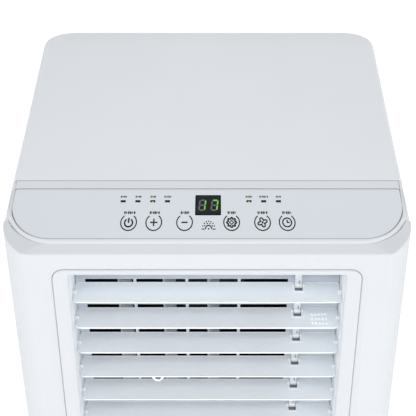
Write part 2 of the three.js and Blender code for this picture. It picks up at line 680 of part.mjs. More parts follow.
// Solid of revolution standing on Z, from pairs of radius and height.
function turned(pairs, segments) {
  const profile = pairs.map(([r, z]) => new THREE.Vector2(r, z));
  return solidOf(new THREE.LatheGeometry(profile, segments).rotateX(Math.PI / 2));
}

function compressorSolid() {
  const { radius, bottom } = COMPRESSOR;
  const shoulder = bottom + 148;
  const shell = turned([
    [0, bottom], [radius + 12, bottom], [radius + 12, bottom + 4], [radius, bottom + 8], [radius, shoulder],
    [radius - 6, shoulder + 14], [radius - 24, shoulder + 24], [0, shoulder + 26],
  ], 20);
  const accumulator = turned([[0, 84], [10, 86], [15, 94], [15, 176], [10, 184], [0, 186]], 10)
    .translate([-72, 0, 0]);
  return joined(shell, accumulator, box(-62, -46, -5, 5, 110, 122));
}
piece('compressor', compressorSolid(), 'steel', [COMPRESSOR.x, COMPRESSOR.y, 0]);

const electricalBox = cut(
  box(-128, -72, -104, -14, FLOOR_Z + 3.5 + GAP, 200),
  box(-126, -74, -102, -16, FLOOR_Z + 5.5 + GAP, 198),
  bar('x', -59, 180, 8, -80, -60, 10),
);
piece('electrical_box', electricalBox, 'foam');

const dischargePipe = [[44, -58, 232.6], [44, -58, 244], [70, -50, 250], [118, -10, 246], [126, 40, 236],
  [128, 90, 212], [122, 112, 206], [107.9, 112.5, 206]];
piece('discharge_pipe', tube(dischargePipe, 3.6), 'copper');

const suctionPipe = [[109.4, 112.5, 420], [118, 110, 418], [121, 80, 408], [120, 57, 392], [120, 56, 330],
  [122, 20, 264], [90, -76, 254], [10, -112, 240], [-28, -96, 216], [-28, -60, 198], [-28, -58, 186.6]];
piece('suction_pipe', tube(suctionPipe, 4.2), 'copper');

const liquidPipe = [[107.9, 112.5, 92], [122, 111, 92], [136, 98, 120], [138, 80, 200], [134, 66, 320],
  [131, 64, 400], [128, 90, 450], [120, 112, 470], [107.9, 112.5, 472]];
piece('liquid_pipe', tube(liquidPipe, 2.4), 'copper');

// ---------------------------------------------------------------- back and sides
function louveredGrille(opening, rowCount, latch) {
  const { halfX, bottom, top } = opening;
  const outline = roundedRectangle(-halfX - 6, halfX + 6, bottom - 6, top + 6, 1, 1);
  const step = (top - bottom) / rowCount;
  const rows = Array.from({ length: rowCount }, (_, i) => [bottom + step * i + 1.5, bottom + step * (i + 1) - 1.5]);
  const third = 2 * halfX / 3;
  const columns = [0, 1, 2].map((i) => [-halfX + third * i + 1.5, -halfX + third * (i + 1) - 1.5]);
  const sheet = slottedSheet(outline, columns, rows, BACK_Y - 2.4, BACK_Y);
  return latch ? cut(sheet, box(-22, 22, BACK_Y - 1.2, BACK_Y + 1, top + 1, top + 4.6)) : sheet;
}
piece('intake_grille_upper', louveredGrille(UPPER_GRILLE, 12, true), 'shell');
piece('intake_grille_lower', louveredGrille(LOWER_GRILLE, 6, false), 'shell');

function intakeFilter() {
  const { halfX, bottom, top } = UPPER_GRILLE;
  const outline = roundedRectangle(-halfX, halfX, bottom, top, 1, 1);
  const step = (top - bottom - 4) / 3;
  const rows = [0, 1, 2].map((i) => [bottom + 4 + step * i, bottom + step * (i + 1)]);
  const width = (2 * halfX - 4) / 2;
  const columns = [0, 1].map((i) => [-halfX + 4 + width * i, -halfX + width * (i + 1)]);
  const frame = slottedSheet(outline, columns, rows, BACK_Y - 6, BACK_Y - 2.4 - GAP);
  return frame.add(box(-halfX + 1, halfX - 1, BACK_Y - 4.6, BACK_Y - 4.2, bottom + 1, top - 1));
}
piece('intake_filter', intakeFilter(), 'filter');

function exhaustCollar() {
  const { bore, outer, flange } = EXHAUST;
  const profile = [[bore, 109], [outer, 109], [outer, 152], [flange, 152], [flange, 156], [outer, 156],
    [outer, BACK_Y - GAP], [bore, BACK_Y - GAP], [bore, 109]].map(([r, y]) => new THREE.Vector2(r, y));
  const ring = solidOf(new THREE.LatheGeometry(profile, 28));
  const bars = joined(
    box(-bore - 1, bore + 1, 124, 128, -1.2, 1.2),
    box(-bore - 1, bore + 1, 124, 128, 31, 33.4),
    box(-bore - 1, bore + 1, 124, 128, -33.4, -31),
    box(-1.2, 1.2, 124, 128, -bore - 1, bore + 1),
    box(31, 33.4, 124, 128, -bore - 1, bore + 1),
    box(-33.4, -31, 124, 128, -bore - 1, bore + 1),
  ).intersect(bar('y', 0, 0, bore + 1.5, 120, 130, 28));
  return ring.add(bars);
}
piece('exhaust_collar', exhaustCollar(), 'shell', [0, 0, EXHAUST.z]);

// Grip pocket with a flange that lies flush in the side wall.
function handleCup() {
  const floorX = HALF_WIDTH - HANDLE.depth;
  return cut(
    joined(
      slab('x', handleOutline(0), floorX, HALF_WIDTH),
      slab('x', handleOutline(HANDLE.flange), HALF_WIDTH - WALL, HALF_WIDTH),
    ),
    slab('x', handleOutline(-2), floorX + 2, HALF_WIDTH + 1),
  );
}
const cup = handleCup();
piece('handle_cup_right', cup, 'shell');
piece('handle_cup_left', cup.mirror([1, 0, 0]), 'shell');

// Drain spout: a socket through the back wall with a sunk face for its cap.
function drainSocket() {
  return cut(
    joined(bar('y', 0, 0, 10, BACK_Y - 14, BACK_Y - GAP, 14), bar('y', 0, 0, 13, BACK_Y - 7, BACK_Y - WALL - GAP, 14)),
    bar('y', 0, 0, 8.6, BACK_Y - 4.5, BACK_Y + 1, 16),
    bar('y', 0, 0, 3.6, BACK_Y - 20, BACK_Y, 10),
  );
}
piece('drain_socket', drainSocket(), 'white', [UPPER_DRAIN.x, 0, UPPER_DRAIN.z]);

const drainCap = cut(
  joined(bar('y', 0, 0, 8, BACK_Y - 4.2, BACK_Y - 0.6, 16), bar('y', 0, 0, 3.2, BACK_Y - 11, BACK_Y - 4, 10)),
  box(-9, -1.4, BACK_Y - 2.2, BACK_Y, -9, 9),
  box(1.4, 9, BACK_Y - 2.2, BACK_Y, -9, 9),
);
piece('drain_cap_upper', drainCap, 'black', [UPPER_DRAIN.x, 0, UPPER_DRAIN.z]);
piece('drain_cap_lower', drainCap, 'black', [LOWER_DRAIN.x, 0, LOWER_DRAIN.z]);

// Inlet plate let into the back wall, with the bush of the mains cord in its middle.
function cordGland() {
  const { x, z } = CORD_INLET;
  return cut(
    joined(slab('y', cordPlateOutline(0), BACK_Y - WALL, BACK_Y - GAP), bar('y', x, z, 11, BACK_Y - 12, BACK_Y - 1, 14)),
    bar('y', x, z, 4.6, BACK_Y - 14, BACK_Y + 1, 12),
  );
}
piece('cord_gland', cordGland(), 'black');

export default group;
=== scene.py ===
"""Looks of the portable air conditioner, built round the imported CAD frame.

Shapes are drawn in millimetres in the frame's own axes (+Z up, front towards -Y) and scaled to
metres as they are made. Lights and camera are placed in metres.
"""
import json
import math

import bmesh
import bpy
from mathutils import Matrix, Vector
from mathutils.geometry import delaunay_2d_cdt


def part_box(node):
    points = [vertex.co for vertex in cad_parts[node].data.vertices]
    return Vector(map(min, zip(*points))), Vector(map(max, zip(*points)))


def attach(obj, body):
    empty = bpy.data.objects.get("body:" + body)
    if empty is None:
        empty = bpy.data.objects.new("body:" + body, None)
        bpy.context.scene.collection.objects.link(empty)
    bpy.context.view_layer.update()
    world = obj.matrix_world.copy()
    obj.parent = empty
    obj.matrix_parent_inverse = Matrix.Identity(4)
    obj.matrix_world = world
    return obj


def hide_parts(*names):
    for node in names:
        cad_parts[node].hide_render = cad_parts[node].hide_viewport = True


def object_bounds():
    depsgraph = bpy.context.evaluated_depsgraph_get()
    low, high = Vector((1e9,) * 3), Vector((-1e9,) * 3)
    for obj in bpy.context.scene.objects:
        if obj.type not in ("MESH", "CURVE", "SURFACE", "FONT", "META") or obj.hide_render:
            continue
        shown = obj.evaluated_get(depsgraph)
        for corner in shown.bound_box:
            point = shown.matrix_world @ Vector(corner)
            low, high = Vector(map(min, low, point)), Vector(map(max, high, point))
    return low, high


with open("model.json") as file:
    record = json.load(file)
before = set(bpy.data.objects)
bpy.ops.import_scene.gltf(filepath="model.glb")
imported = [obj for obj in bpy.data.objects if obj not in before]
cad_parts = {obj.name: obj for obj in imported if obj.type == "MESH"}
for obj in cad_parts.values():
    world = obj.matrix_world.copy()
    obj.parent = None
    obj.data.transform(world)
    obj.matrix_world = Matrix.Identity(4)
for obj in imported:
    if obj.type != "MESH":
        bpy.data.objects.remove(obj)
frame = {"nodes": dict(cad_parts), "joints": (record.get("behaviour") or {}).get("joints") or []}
cad_low, cad_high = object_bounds()

MM = 0.001


# ---------------------------------------------------------------- places taken from the frame
def box_mm(node):
    low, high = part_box(node)
    return low / MM, high / MM


def middle_mm(node):
    return [(a + b) / 2 for a, b in zip(*box_mm(node))]


def face_mm(node):
    """Left, right, bottom and top of a node seen from the front or the back."""
    low, high = box_mm(node)
    return low.x, high.x, low.z, high.z


def key_centre(name):
    return middle_mm(f"key_{name}")[:2]


def hinge_mm(name):
    joint = next(j for j in frame["joints"] if j["name"] == name)
    return Vector(joint["pos_m"]) / MM


HALF_W = cad_high.x / MM
FRONT = cad_low.y / MM
BACK = cad_high.y / MM
TOP = cad_high.z / MM
WALL = 2.6
SEAM = 0.38                     # from a piece's edge to the middle of a seam
GROOVE = 0.8                    # line round the control film

SKIRT_Z = box_mm("base_pan")[0].z
SHELL_Z = box_mm("front_cover")[0].z
CAP_Z = box_mm("top_cover")[0].z
SEAM_Y = (box_mm("front_cover")[1].y + box_mm("rear_cover")[0].y) / 2
CHIN_RISE = 2.6
CHIN_Z = box_mm("front_cover")[1].z - CHIN_RISE

CORNER_RADIUS = 54
CORNER_X = HALF_W - CORNER_RADIUS
CORNER_Y = FRONT + 40.1
STEP_Y = -124                   # the panel moulding reaches down the sides behind this
STEP_RUN = 24                   # length over which its rim settles behind the step
REAR_RADIUS = 24
SIDE_REACH = 4.5                # the top rounds over within this of each side
SIDE_DROP = 9
SHADE_STRIP_DEPTH = 0.45               # from the top down to the dark strips of painted shade seen in the seams

film_low, film_high = box_mm("control_film")
FILM_TOP = film_high.z
FILM_CORNER_X = 32
FILM_CORNER_Y = 44
RIM_WIDTH = 5.4

frame_low, frame_high = box_mm("outlet_frame")
guard_low, guard_high = box_mm("outlet_guard")
FRAME_RADIUS = 9
LOUVER_COUNT = 6
louver_axis = hinge_mm("louver_1_hinge")
LOUVER_PITCH = louver_axis.z - hinge_mm("louver_2_hinge").z
LOUVER_TILT = -3                # front edges up
BLADE_TURN = Matrix.Rotation(math.radians(LOUVER_TILT), 4, "X")
BLADE_HALF = 99.4
BLADE_FRONT = -12.6             # from the pivot to a blade's front and rear edges
BLADE_BACK = 11.9
CRANK = 8.5                     # from a blade's pivot to the pin in the link bar
BUMP_LOUVER = 2
TAB_LOUVER = 4
TAB_X = -38.7
LINK_X = face_mm("louver_link")[:2]
GUARD_COLUMNS = [(-93, -56.4), (-54.2, -16.8), (-14.6, 23), (25.2, 61.3)]
VANE_TURN = -25
EXHAUST_OUTER = 72.6
DRAIN_OUTER = 10

KEY_NAMES = ["power", "up", "down", "mode", "speed", "timer"]
KEY_RADIUS = 5
WORD_Y = -118.3                 # rows of marks on the control film
LAMP_Y = -104.3
LAMP_WORD_Y = -98.6
LAMPS_LIT = (3, 5)
RECEIVER_PLACE = (1.1, -138.6)
READ_STRETCH = 1.63             # panel marks are drawn long so they look round from the user's side

WORLD_LIGHT = 0.43
FLOOR_GLOW = 0.34
CAMERA_PLACE = (0.0061, -0.8285, 1.223)
CAMERA_PITCH = 52.8
CAMERA_LENS = 104.8
CAMERA_SHIFT = -0.018
LIGHTS = [                      # name, place, aim, size and power
    ("key_light", (-0.05, -2.1, 2.4), (0, -0.1, 0.6), (6.4, 1.6), 75),
    ("top_light", (0.02, 0.04, 1.32), (0.02, 0.04, 0.68), (0.4, 0.4), 1.2),
    ("right_light", (2.2, -1.1, 0.5), (0, -0.1, 0.5), (1.2, 1.2), 20),
    ("left_light", (-2.2, -1.1, 0.5), (0, -0.1, 0.5), (1.2, 1.2), 17),
    ("back_light", (0.2, 2.6, 0.7), (0, 0.1, 0.4), (2.6, 1.0), 10),
]


# ---------------------------------------------------------------- outlines in millimetres
def arc(cx, cy, rx, ry, start, end, steps):
    points = []
    for i in range(steps + 1):
        a = math.radians(start + (end - start) * i / steps)
        points.append((cx + rx * math.cos(a), cy + ry * math.sin(a)))
    return points


def circle(cx, cy, radius, steps):
    return arc(cx, cy, radius, radius, 0, 360, steps)[:-1]


def rounded_rect(x0, x1, y0, y1, radius, steps=6):
    return (
        arc(x1 - radius, y0 + radius, radius, radius, -90, 0, steps)
        + arc(x1 - radius, y1 - radius, radius, radius, 0, 90, steps)
        + arc(x0 + radius, y1 - radius, radius, radius, 90, 180, steps)
        + arc(x0 + radius, y0 + radius, radius, radius, 180, 270, steps)
    )


def opening(x0, x1, y0, y1, radius, steps):
    """Rounded opening in a plate, as a loop that grows into the material round it."""
    return lambda grow: rounded_rect(x0 - grow, x1 + grow, y0 - grow, y1 + grow, radius + grow, steps)


def plate_edge(x0, x1, y0, y1, radius, steps, follow=0):
    """Rounded rim of a plate, as a loop that shrinks into it; follow shrinks its corners as well."""
    return lambda inset: rounded_rect(x0 + inset, x1 - inset, y0 + inset, y1 - inset,
                                      radius - follow * inset, steps)


def quarter(steps):
    """Sine and cosine at equal steps over a quarter turn."""
    turns = [math.radians(90 * i / steps) for i in range(steps + 1)]
    return [(math.sin(a), math.cos(a)) for a in turns]


def rim_levels(low, high, radius, steps):
    """Pairs of inset and level that round both rims of a plate."""
    lower = [(radius * (1 - s), low + radius * (1 - c)) for s, c in quarter(steps)]
    return lower + [(radius * (1 - c), high - radius * (1 - s)) for s, c in quarter(steps)]


def mirrored(right):
    """Left half of an outline, run so that it leads on to or follows the right half."""
    return [(-x, y) for x, y in reversed(right)]


def bezier(a, b, c, steps):
    points = []
    for i in range(steps + 1):
        t = i / steps
        points.append(tuple((1 - t) ** 2 * p + 2 * t * (1 - t) * q + t * t * r for p, q, r in zip(a, b, c)))
    return points


def front_corner(inset, steps=16, ease=2.5):
    """Right front corner from the flat face to the side: a soft crease, then the wide arc."""
    radius = CORNER_RADIUS - inset
    crease = -math.degrees(math.asin((CORNER_Y - FRONT - inset) / radius))
    ease_angle = math.degrees(ease / CORNER_RADIUS)
    last_angle = -1.2
    curve = arc(CORNER_X, CORNER_Y, radius, radius, crease + ease_angle, last_angle, steps)
    edge = arc(CORNER_X, CORNER_Y, radius, radius, crease, crease, 1)[0]
    return bezier((edge[0] - ease, FRONT + inset), edge, curve[0], 4)[:-1] + curve


def front_half(inset, end_y):
    right = front_corner(inset) + [(HALF_W - inset, CORNER_Y), (HALF_W - inset, end_y)]
    return mirrored(right) + right


def rear_half(inset, start_y, steps=14):
    """Plan of the rear shell from its right seam round the back to its left seam."""
    radius = REAR_RADIUS - inset
    x, y = HALF_W - REAR_RADIUS, BACK - REAR_RADIUS
    right = [(HALF_W - inset, start_y)] + arc(x, y, radius, radius, 0, 90, steps)
    return right + mirrored(right)


def whole_plan(inset):
    return front_half(inset, SEAM_Y)[1:-1] + rear_half(inset, SEAM_Y)


def wide_corner(grow, steps=20, ease=0.0):
    """Right front corner of the control panel, an ellipse kept inside the body's own corner."""
    edge = film_high.x + grow
    front = film_low.y - grow
    rx, ry = FILM_CORNER_X + grow + ease, FILM_CORNER_Y + grow + ease
    limit = CORNER_RADIUS - 0.05
    points = []
    for x, y in arc(edge - rx, front + ry, rx, ry, -90, 0, steps):
        away = Vector((x - CORNER_X, y - CORNER_Y))
        if y < CORNER_Y and away.length > limit:
            away *= limit / away.length
            x, y = CORNER_X + away.x, CORNER_Y + away.y
        points.append((min(x, HALF_W), y))
    return points


def film_outline(grow):
    edge = film_high.x + grow
    back = film_high.y + grow
    rear = 2 + grow
    right = wide_corner(grow) + arc(edge - rear, back - rear, rear, rear, 0, 90, 4)
    return right + mirrored(right)


def rim_outline(grow, end_y):
    """Outer edge of the panel moulding from its left seam round the front to its right seam."""
    side_x = HALF_W + min(grow, 0)
    right = [p for p in wide_corner(RIM_WIDTH + grow, ease=4.0) if p[1] < STEP_Y - 0.6]
    right += [(side_x, min(end_y, STEP_Y + step)) for step in (0, 4, 8, 13, 18, STEP_RUN)]
    right += [(side_x, end_y)] if end_y > STEP_Y else []
    return mirrored(right) + right


def normals_of(outline, closed=False):
    """Outward unit normals of an outline that runs anticlockwise seen from above."""
    normals = []
    count = len(outline)
    for i, (x, y) in enumerate(outline):
        before = outline[i - 1] if closed or i else (x, y)
        after = outline[(i + 1) % count] if closed or i < count - 1 else (x, y)
        away = Vector((after[1] - before[1], before[0] - after[0]))
        normals.append(away.normalized())
    return normals


# ---------------------------------------------------------------- mesh building
def inside(p, loop):
    """Even-odd test of a flat point in a closed loop."""
    hit = False
    for i, (x1, y1) in enumerate(loop):
        x0, y0 = loop[i - 1]
        if (y0 > p.y) != (y1 > p.y) and p.x < (x1 - x0) * (p.y - y0) / (y1 - y0) + x0:
            hit = not hit
    return hit


def on_z(z):
    return lambda x, y: (x, y, z)


def on_y(y):
    return lambda x, z: (x, y, z)


def on_x(x):
    return lambda y, z: (x, y, z)


class Build:
    """Collects vertices and faces in millimetres and turns them into one named piece."""

    def __init__(self):
        self.bm = bmesh.new()

    def ring(self, points):
        return [self.bm.verts.new(Vector(p) * MM) for p in points]

    def strip(self, a, b, closed):
        for i in range(len(a) if closed else len(a) - 1):
            j = (i + 1) % len(a)
            self.bm.faces.new((a[i], a[j], b[j], b[i]))

    def loft(self, rings, closed=True, caps=True, wrap=False):
        """Skin through rings of equal length; wrap joins the last ring to the first."""
        made = [self.ring(r) for r in rings]
        for a, b in zip(made, made[1:]):
            self.strip(a, b, closed)
        if wrap:
            self.strip(made[-1], made[0], closed)
        elif closed and caps:
            self.bm.faces.new(list(reversed(made[0])))
            self.bm.faces.new(made[-1])
        return self

    def flat(self, place, outline, *holes):
        """Flat region with holes; place turns a flat point into a point in space."""
        loops = [outline, *holes]
        points = [Vector(p) for loop in loops for p in loop]
        edges = []
        start = 0
        for loop in loops:
            edges += [(start + i, start + (i + 1) % len(loop)) for i in range(len(loop))]
            start += len(loop)
        verts, _, faces, *_ = delaunay_2d_cdt(points, edges, [], 0, 1e-5)
        made = [self.bm.verts.new(Vector(place(v.x, v.y)) * MM) for v in verts]
        for f in faces:
            centre = sum((verts[i] for i in f), Vector((0, 0))) / len(f)
            if inside(centre, outline) and not any(inside(centre, hole) for hole in holes):
                self.bm.faces.new([made[i] for i in f])
        return self

    def wall(self, place_of, outline, levels):
        """Closed wall through (inset, level) pairs; outline(inset) gives the loop at each."""
        rings = [[place_of(level)(x, y) for x, y in outline(inset)] for inset, level in levels]
        return self.loft(rings, caps=False)

    def prism(self, place_of, loop, low, high):
        """Closed prism with sharp rims between two levels."""
        self.wall(place_of, lambda inset: loop, [(0, low), (0, high)])
        return self.flat(place_of(low), loop).flat(place_of(high), loop)

    def slab(self, place_of, low, high, radius, outline, *holes):
        """Plate between two levels with rounded rims. Each loop takes how far it lies in the material."""
        for loop in (outline, *holes):
            self.wall(place_of, loop, rim_levels(low, high, radius, 3))
        for level in (low, high):
            self.flat(place_of(level), outline(radius), *[hole(radius) for hole in holes])
        return self.merge()

    def turned(self, axis, a, b, profile, steps=36, wrap=False):
        """Solid of revolution through (radius, station) pairs along an axis at (a, b)."""
        rings = []
        for radius, at in profile:
            loop = circle(a, b, radius, steps)
            rings.append([{"x": (at, u, v), "y": (u, at, v), "z": (u, v, at)}[axis] for u, v in loop])
        return self.loft(rings, wrap=wrap)

    def pin(self, axis, a, b, radius, start, end, edge=0.3, steps=28):
        bevel = [(edge, 0), (edge * 0.3, edge * 0.3), (0, edge)]
        profile = [(radius - inset, start + rise) for inset, rise in bevel]
        profile += [(radius - inset, end - rise) for inset, rise in reversed(bevel)]
        return self.turned(axis, a, b, profile, steps)

    def block(self, x, y, z, radius=0.4):
        """Box from three (low, high) pairs with rounded edges."""
        rings = []
        for inset, level in rim_levels(*z, radius, 2):
            loop = rounded_rect(x[0] + inset, x[1] - inset, y[0] + inset, y[1] - inset,
                                radius * 1.2 - inset, 3)
            rings.append([(u, v, level) for u, v in loop])
        return self.loft(rings)

    def moved(self, matrix):
        for v in self.bm.verts:
            v.co = matrix @ v.co
        return self

    def merge(self, distance=0.002):
        bmesh.ops.remove_doubles(self.bm, verts=self.bm.verts, dist=distance * MM)
        return self

    def outward(self, centre=None):
        """Turns faces outward; an open sheet is turned away from a centre point."""
        bmesh.ops.recalc_face_normals(self.bm, faces=self.bm.faces)
        if centre is not None:
            middle = Vector(centre) * MM
            away = sum(f.normal.dot(f.calc_center_median() - middle) * f.calc_area() for f in self.bm.faces)
            if away < 0:
                bmesh.ops.reverse_faces(self.bm, faces=self.bm.faces)

    def as_object(self, name):
        mesh = bpy.data.meshes.new(name)
        self.bm.to_mesh(mesh)
        self.bm.free()
        obj = bpy.data.objects.new(name, mesh)
        bpy.context.scene.collection.objects.link(obj)
        return obj

    def piece(self, name, body, slot, material, centre=None, sharp=32):
        """The finished piece, riding on a body."""
        self.outward(centre)
        obj = self.as_object(name)
        obj.data.materials.append(material)
        shade(obj, sharp)
        assign(obj, name, body)
        return obj


def assign(obj, name, body):
    """Gives a piece its body; a piece with the name of a CAD node stands for that node."""
    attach(obj, body)
    if name in frame["nodes"]:
        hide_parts(name)


def shade(obj, sharp=32):
    """Smooth shading broken where faces meet at more than an angle."""
    obj.data.polygons.foreach_set("use_smooth", [True] * len(obj.data.polygons))
    obj.data.set_sharp_from_angle(angle=math.radians(sharp))


def bake_modifiers(obj):
    graph = bpy.context.evaluated_depsgraph_get()
    mesh = bpy.data.meshes.new_from_object(obj.evaluated_get(graph))
    obj.modifiers.clear()
    obj.data = mesh
    shade(obj)


def smooth_flats(obj):
    weighted = obj.modifiers.new("normals", "WEIGHTED_NORMAL")
    weighted.keep_sharp = True
    weighted.weight = 80


def bevelled(obj, width, angle=28, segments=3):
    bevel = obj.modifiers.new("edges", "BEVEL")
    bevel.width = width * MM
    bevel.segments = segments
    bevel.limit_method = "ANGLE"
    bevel.angle_limit = math.radians(angle)
    bevel.harden_normals = False


def thicken(obj, wall=WALL, edge=0.5):
    """Turns an open sheet into a moulded wall with softly rounded rims."""
    solid = obj.modifiers.new("wall", "SOLIDIFY")
    solid.thickness = wall * MM
    solid.offset = -1
    solid.use_even_offset = True
    bake_modifiers(obj)
    bevelled(obj, edge, 40)
    bake_modifiers(obj)
    smooth_flats(obj)


def cut(obj, build, operation="DIFFERENCE"):
    """Cuts a closed shape out of a piece and removes the tool."""
    build.outward()
    tool = build.as_object("tool")
    boolean = obj.modifiers.new("cut", "BOOLEAN")
    boolean.operation = operation
    boolean.object = tool
    boolean.solver = "EXACT"
    bake_modifiers(obj)
    mesh = tool.data
    bpy.data.objects.remove(tool)
    bpy.data.meshes.remove(mesh)


def join(obj, build):
    cut(obj, build, "UNION")


# ---------------------------------------------------------------- materials
def scaled(colour, factor):
    return tuple(min(1.0, c * factor) for c in colour)


class Surface:
    """One procedural material, built from the noise and pattern nodes of its own object space."""

    def __init__(self, name):
        self.material = bpy.data.materials.new(name)
        self.material.use_nodes = True
        self.tree = self.material.node_tree
        self.shader = self.tree.nodes["Principled BSDF"]
        self.coords = self.node("ShaderNodeTexCoord").outputs["Object"]

    def node(self, kind, **inputs):
        made = self.tree.nodes.new(kind)
        for key, value in inputs.items():
            made.inputs[key.replace("_", " ")].default_value = value
        return made

    def link(self, a, b):
        self.tree.links.new(a, b)

    def noise(self, scale, detail, roughness=0.5, coords=None):
        made = self.node("ShaderNodeTexNoise", Scale=scale, Detail=detail, Roughness=roughness)
        self.link(coords or self.coords, made.inputs["Vector"])
        return made.outputs["Fac"]

    def span(self, fac, low, high):
        made = self.node("ShaderNodeMapRange", To_Min=low, To_Max=high)
        self.link(fac, made.inputs["Value"])
        return made.outputs["Result"]

    def colour(self, fac, *stops, socket="Base Color"):
        made = self.node("ShaderNodeValToRGB")
        ramp = made.color_ramp.elements
        for element, (at, colour) in zip(ramp, stops):
            element.position = at
            element.color = (*colour, 1)
        self.link(fac, made.inputs["Fac"])
        self.link(made.outputs["Color"], self.shader.inputs[socket])

    def roughness(self, fac, low, high):
        self.link(self.span(fac, low, high), self.shader.inputs["Roughness"])

    def bump(self, height, strength, distance=0.0002):
        made = self.node("ShaderNodeBump", Strength=strength, Distance=distance)
        self.link(height, made.inputs["Height"])
        self.link(made.outputs["Normal"], self.shader.inputs["Normal"])

    def moulded(self, rough, grain, bump):
        """Uneven gloss and fine grain of moulded plastic."""
        self.roughness(self.noise(60.0, 4.0), rough - 0.04, rough + 0.04)
        self.bump(self.noise(grain, 2.0, 0.6), bump)

    def set(self, **values):
        for key, value in values.items():
            self.shader.inputs[key.replace("_", " ")].default_value = value


def plastic(name, colour, rough, grain, bump, variation=0.012, coat=0.0, gloss=0.5):
    """Moulded plastic: faint flow variation in colour, fine grain and uneven gloss."""
    s = Surface(name)
    flow = s.noise(9.0, 2.0)
    s.colour(flow, (0.3, scaled(colour, 1 - variation)), (0.7, scaled(colour, 1 + variation)))
    s.moulded(rough, grain, bump)
    s.set(Coat_Weight=coat, Coat_Roughness=0.12, Specular_IOR_Level=gloss)
    return s.material


def painted_light_by_depth(name, face, inner, start, end, rough, grain):
    """Moulded plastic painted lighter from its front face to its inner walls, as painted light on walls the
    lamps barely reach.
    """
    s = Surface(name)
    place = s.node("ShaderNodeSeparateXYZ")
    s.link(s.coords, place.inputs["Vector"])
    depth = s.node("ShaderNodeMapRange", From_Min=start * MM, From_Max=end * MM)
    s.link(place.outputs["Y"], depth.inputs["Value"])
    s.colour(depth.outputs["Result"], (0.0, face), (1.0, inner))
    s.moulded(rough, grain, 0.04)
    return s.material


def metal(name, colour, rough, stretch):
    """Drawn or rolled metal with brushed streaks along one axis."""
    s = Surface(name)
    mapping = s.node("ShaderNodeMapping", Scale=stretch)
    s.link(s.coords, mapping.inputs["Vector"])
    streak = s.noise(30.0, 4.0, 0.6, mapping.outputs["Vector"])
    s.colour(streak, (0.3, scaled(colour, 0.86)), (0.7, scaled(colour, 1.06)))
    s.roughness(streak, rough - 0.08, rough + 0.08)
    s.bump(streak, 0.08)
    s.set(Metallic=1.0)
    return s.material


def glowing(name, colour, strength):
    """Lit plastic light guide with a slightly uneven glow."""
    s = Surface(name)
    glow = s.noise(900.0, 1.0)
    s.colour(glow, (0.2, scaled(colour, 0.82)), (0.8, colour))
    s.colour(glow, (0.2, scaled(colour, 0.82)), (0.8, colour), socket="Emission Color")
    s.roughness(glow, 0.45, 0.55)
    s.bump(glow, 0.02)
    s.set(Emission_Strength=strength)
    return s.material


def foam(name, colour):
    """Bead foam: pale cells with darker joints between them."""
    s = Surface(name)
    cells = s.node("ShaderNodeTexVoronoi", Scale=420.0)
    s.link(s.coords, cells.inputs["Vector"])
    near = cells.outputs["Distance"]
    s.colour(near, (0.1, scaled(colour, 1.05)), (0.7, scaled(colour, 0.8)))
    s.roughness(near, 0.78, 0.95)
    s.bump(near, 0.35, 0.0006)
    return s.material


def wave(s, direction, pitch, distortion=0.0):
    """Bands that repeat once every pitch metres."""
    made = s.node("ShaderNodeTexWave", Scale=2 * math.pi / (20 * pitch), Distortion=distortion, Detail=1.0)
    made.bands_direction = direction
    s.link(s.coords, made.inputs["Vector"])
    return made.outputs["Fac"]


def woven(name, colour, pitch=0.0014):
    """Fine square mesh: threads in two directions, with the holes between them painted dark as painted
    shade.
    """
    s = Surface(name)
    top = s.node("ShaderNodeMath")
    top.operation = "MAXIMUM"
    s.link(wave(s, "X", pitch), top.inputs[0])
    s.link(wave(s, "Z", pitch), top.inputs[1])
    s.colour(top.outputs[0], (0.45, scaled(colour, 0.25)), (0.85, colour))
    s.roughness(top.outputs[0], 0.9, 0.65)
    s.bump(top.outputs[0], 0.5, 0.0004)
    return s.material


def finned(name, colour, pitch=0.0018):
    """Coil face: thin upright fins, with the gaps between them painted dark as painted shade."""
    s = Surface(name)
    fins = wave(s, "X", pitch, 0.3)
    s.colour(fins, (0.25, scaled(colour, 0.12)), (0.6, colour))
    s.roughness(fins, 0.6, 0.32)
    s.bump(fins, 0.6, 0.0008)
    s.set(Metallic=0.85)
    return s.material


# Top cover and shell are one white plastic: the top is painted lighter as painted light, and the shell
# darker as painted shade on its brightly lit front.
TOP_SHELL_PAINTED_LIGHT = plastic("top_white_painted_light", (0.685, 0.707, 0.737), 0.5, 1500, 0.10)
SHELL_PAINTED_SHADE = plastic("shell_white", (0.575, 0.595, 0.62), 0.5, 1500, 0.10)
TRIM = plastic("trim_white", (0.63, 0.655, 0.685), 0.4, 2400, 0.04)
VANE = plastic("vane_grey", (0.46, 0.48, 0.50), 0.45, 2000, 0.05)
# Grip bumps are the blade's own plastic, painted whiter as painted highlight.
BUMP_PAINTED_HIGHLIGHT = plastic("bump_painted_highlight", (0.93, 0.95, 0.97), 0.35, 2000, 0.02)
LINK = plastic("link_white", (0.79, 0.81, 0.84), 0.4, 2000, 0.04)
# Outlet frame face and inner walls are one plastic; the walls are painted lighter as painted light.
FRAME_PAINTED_LIGHT = painted_light_by_depth("frame_white_painted_light", (0.565, 0.588, 0.615), (0.80, 0.83, 0.86), FRONT + 1.2, FRONT + 4,
                     0.4, 2400)
# The panel moulding is painted a little darker than the top cover, as painted shade that tones down the key
# light on its rounded rim.
RIM_PAINTED_SHADE = plastic("rim_white_painted_shade", (0.635, 0.658, 0.687), 0.5, 2000, 0.06)
# The guard is white plastic painted darker and bluer, as painted shade where it sits in shadow behind the
# blades.
GUARD_PAINTED_SHADE = plastic("guard_painted_shade", (0.53, 0.575, 0.635), 0.45, 2400, 0.04)
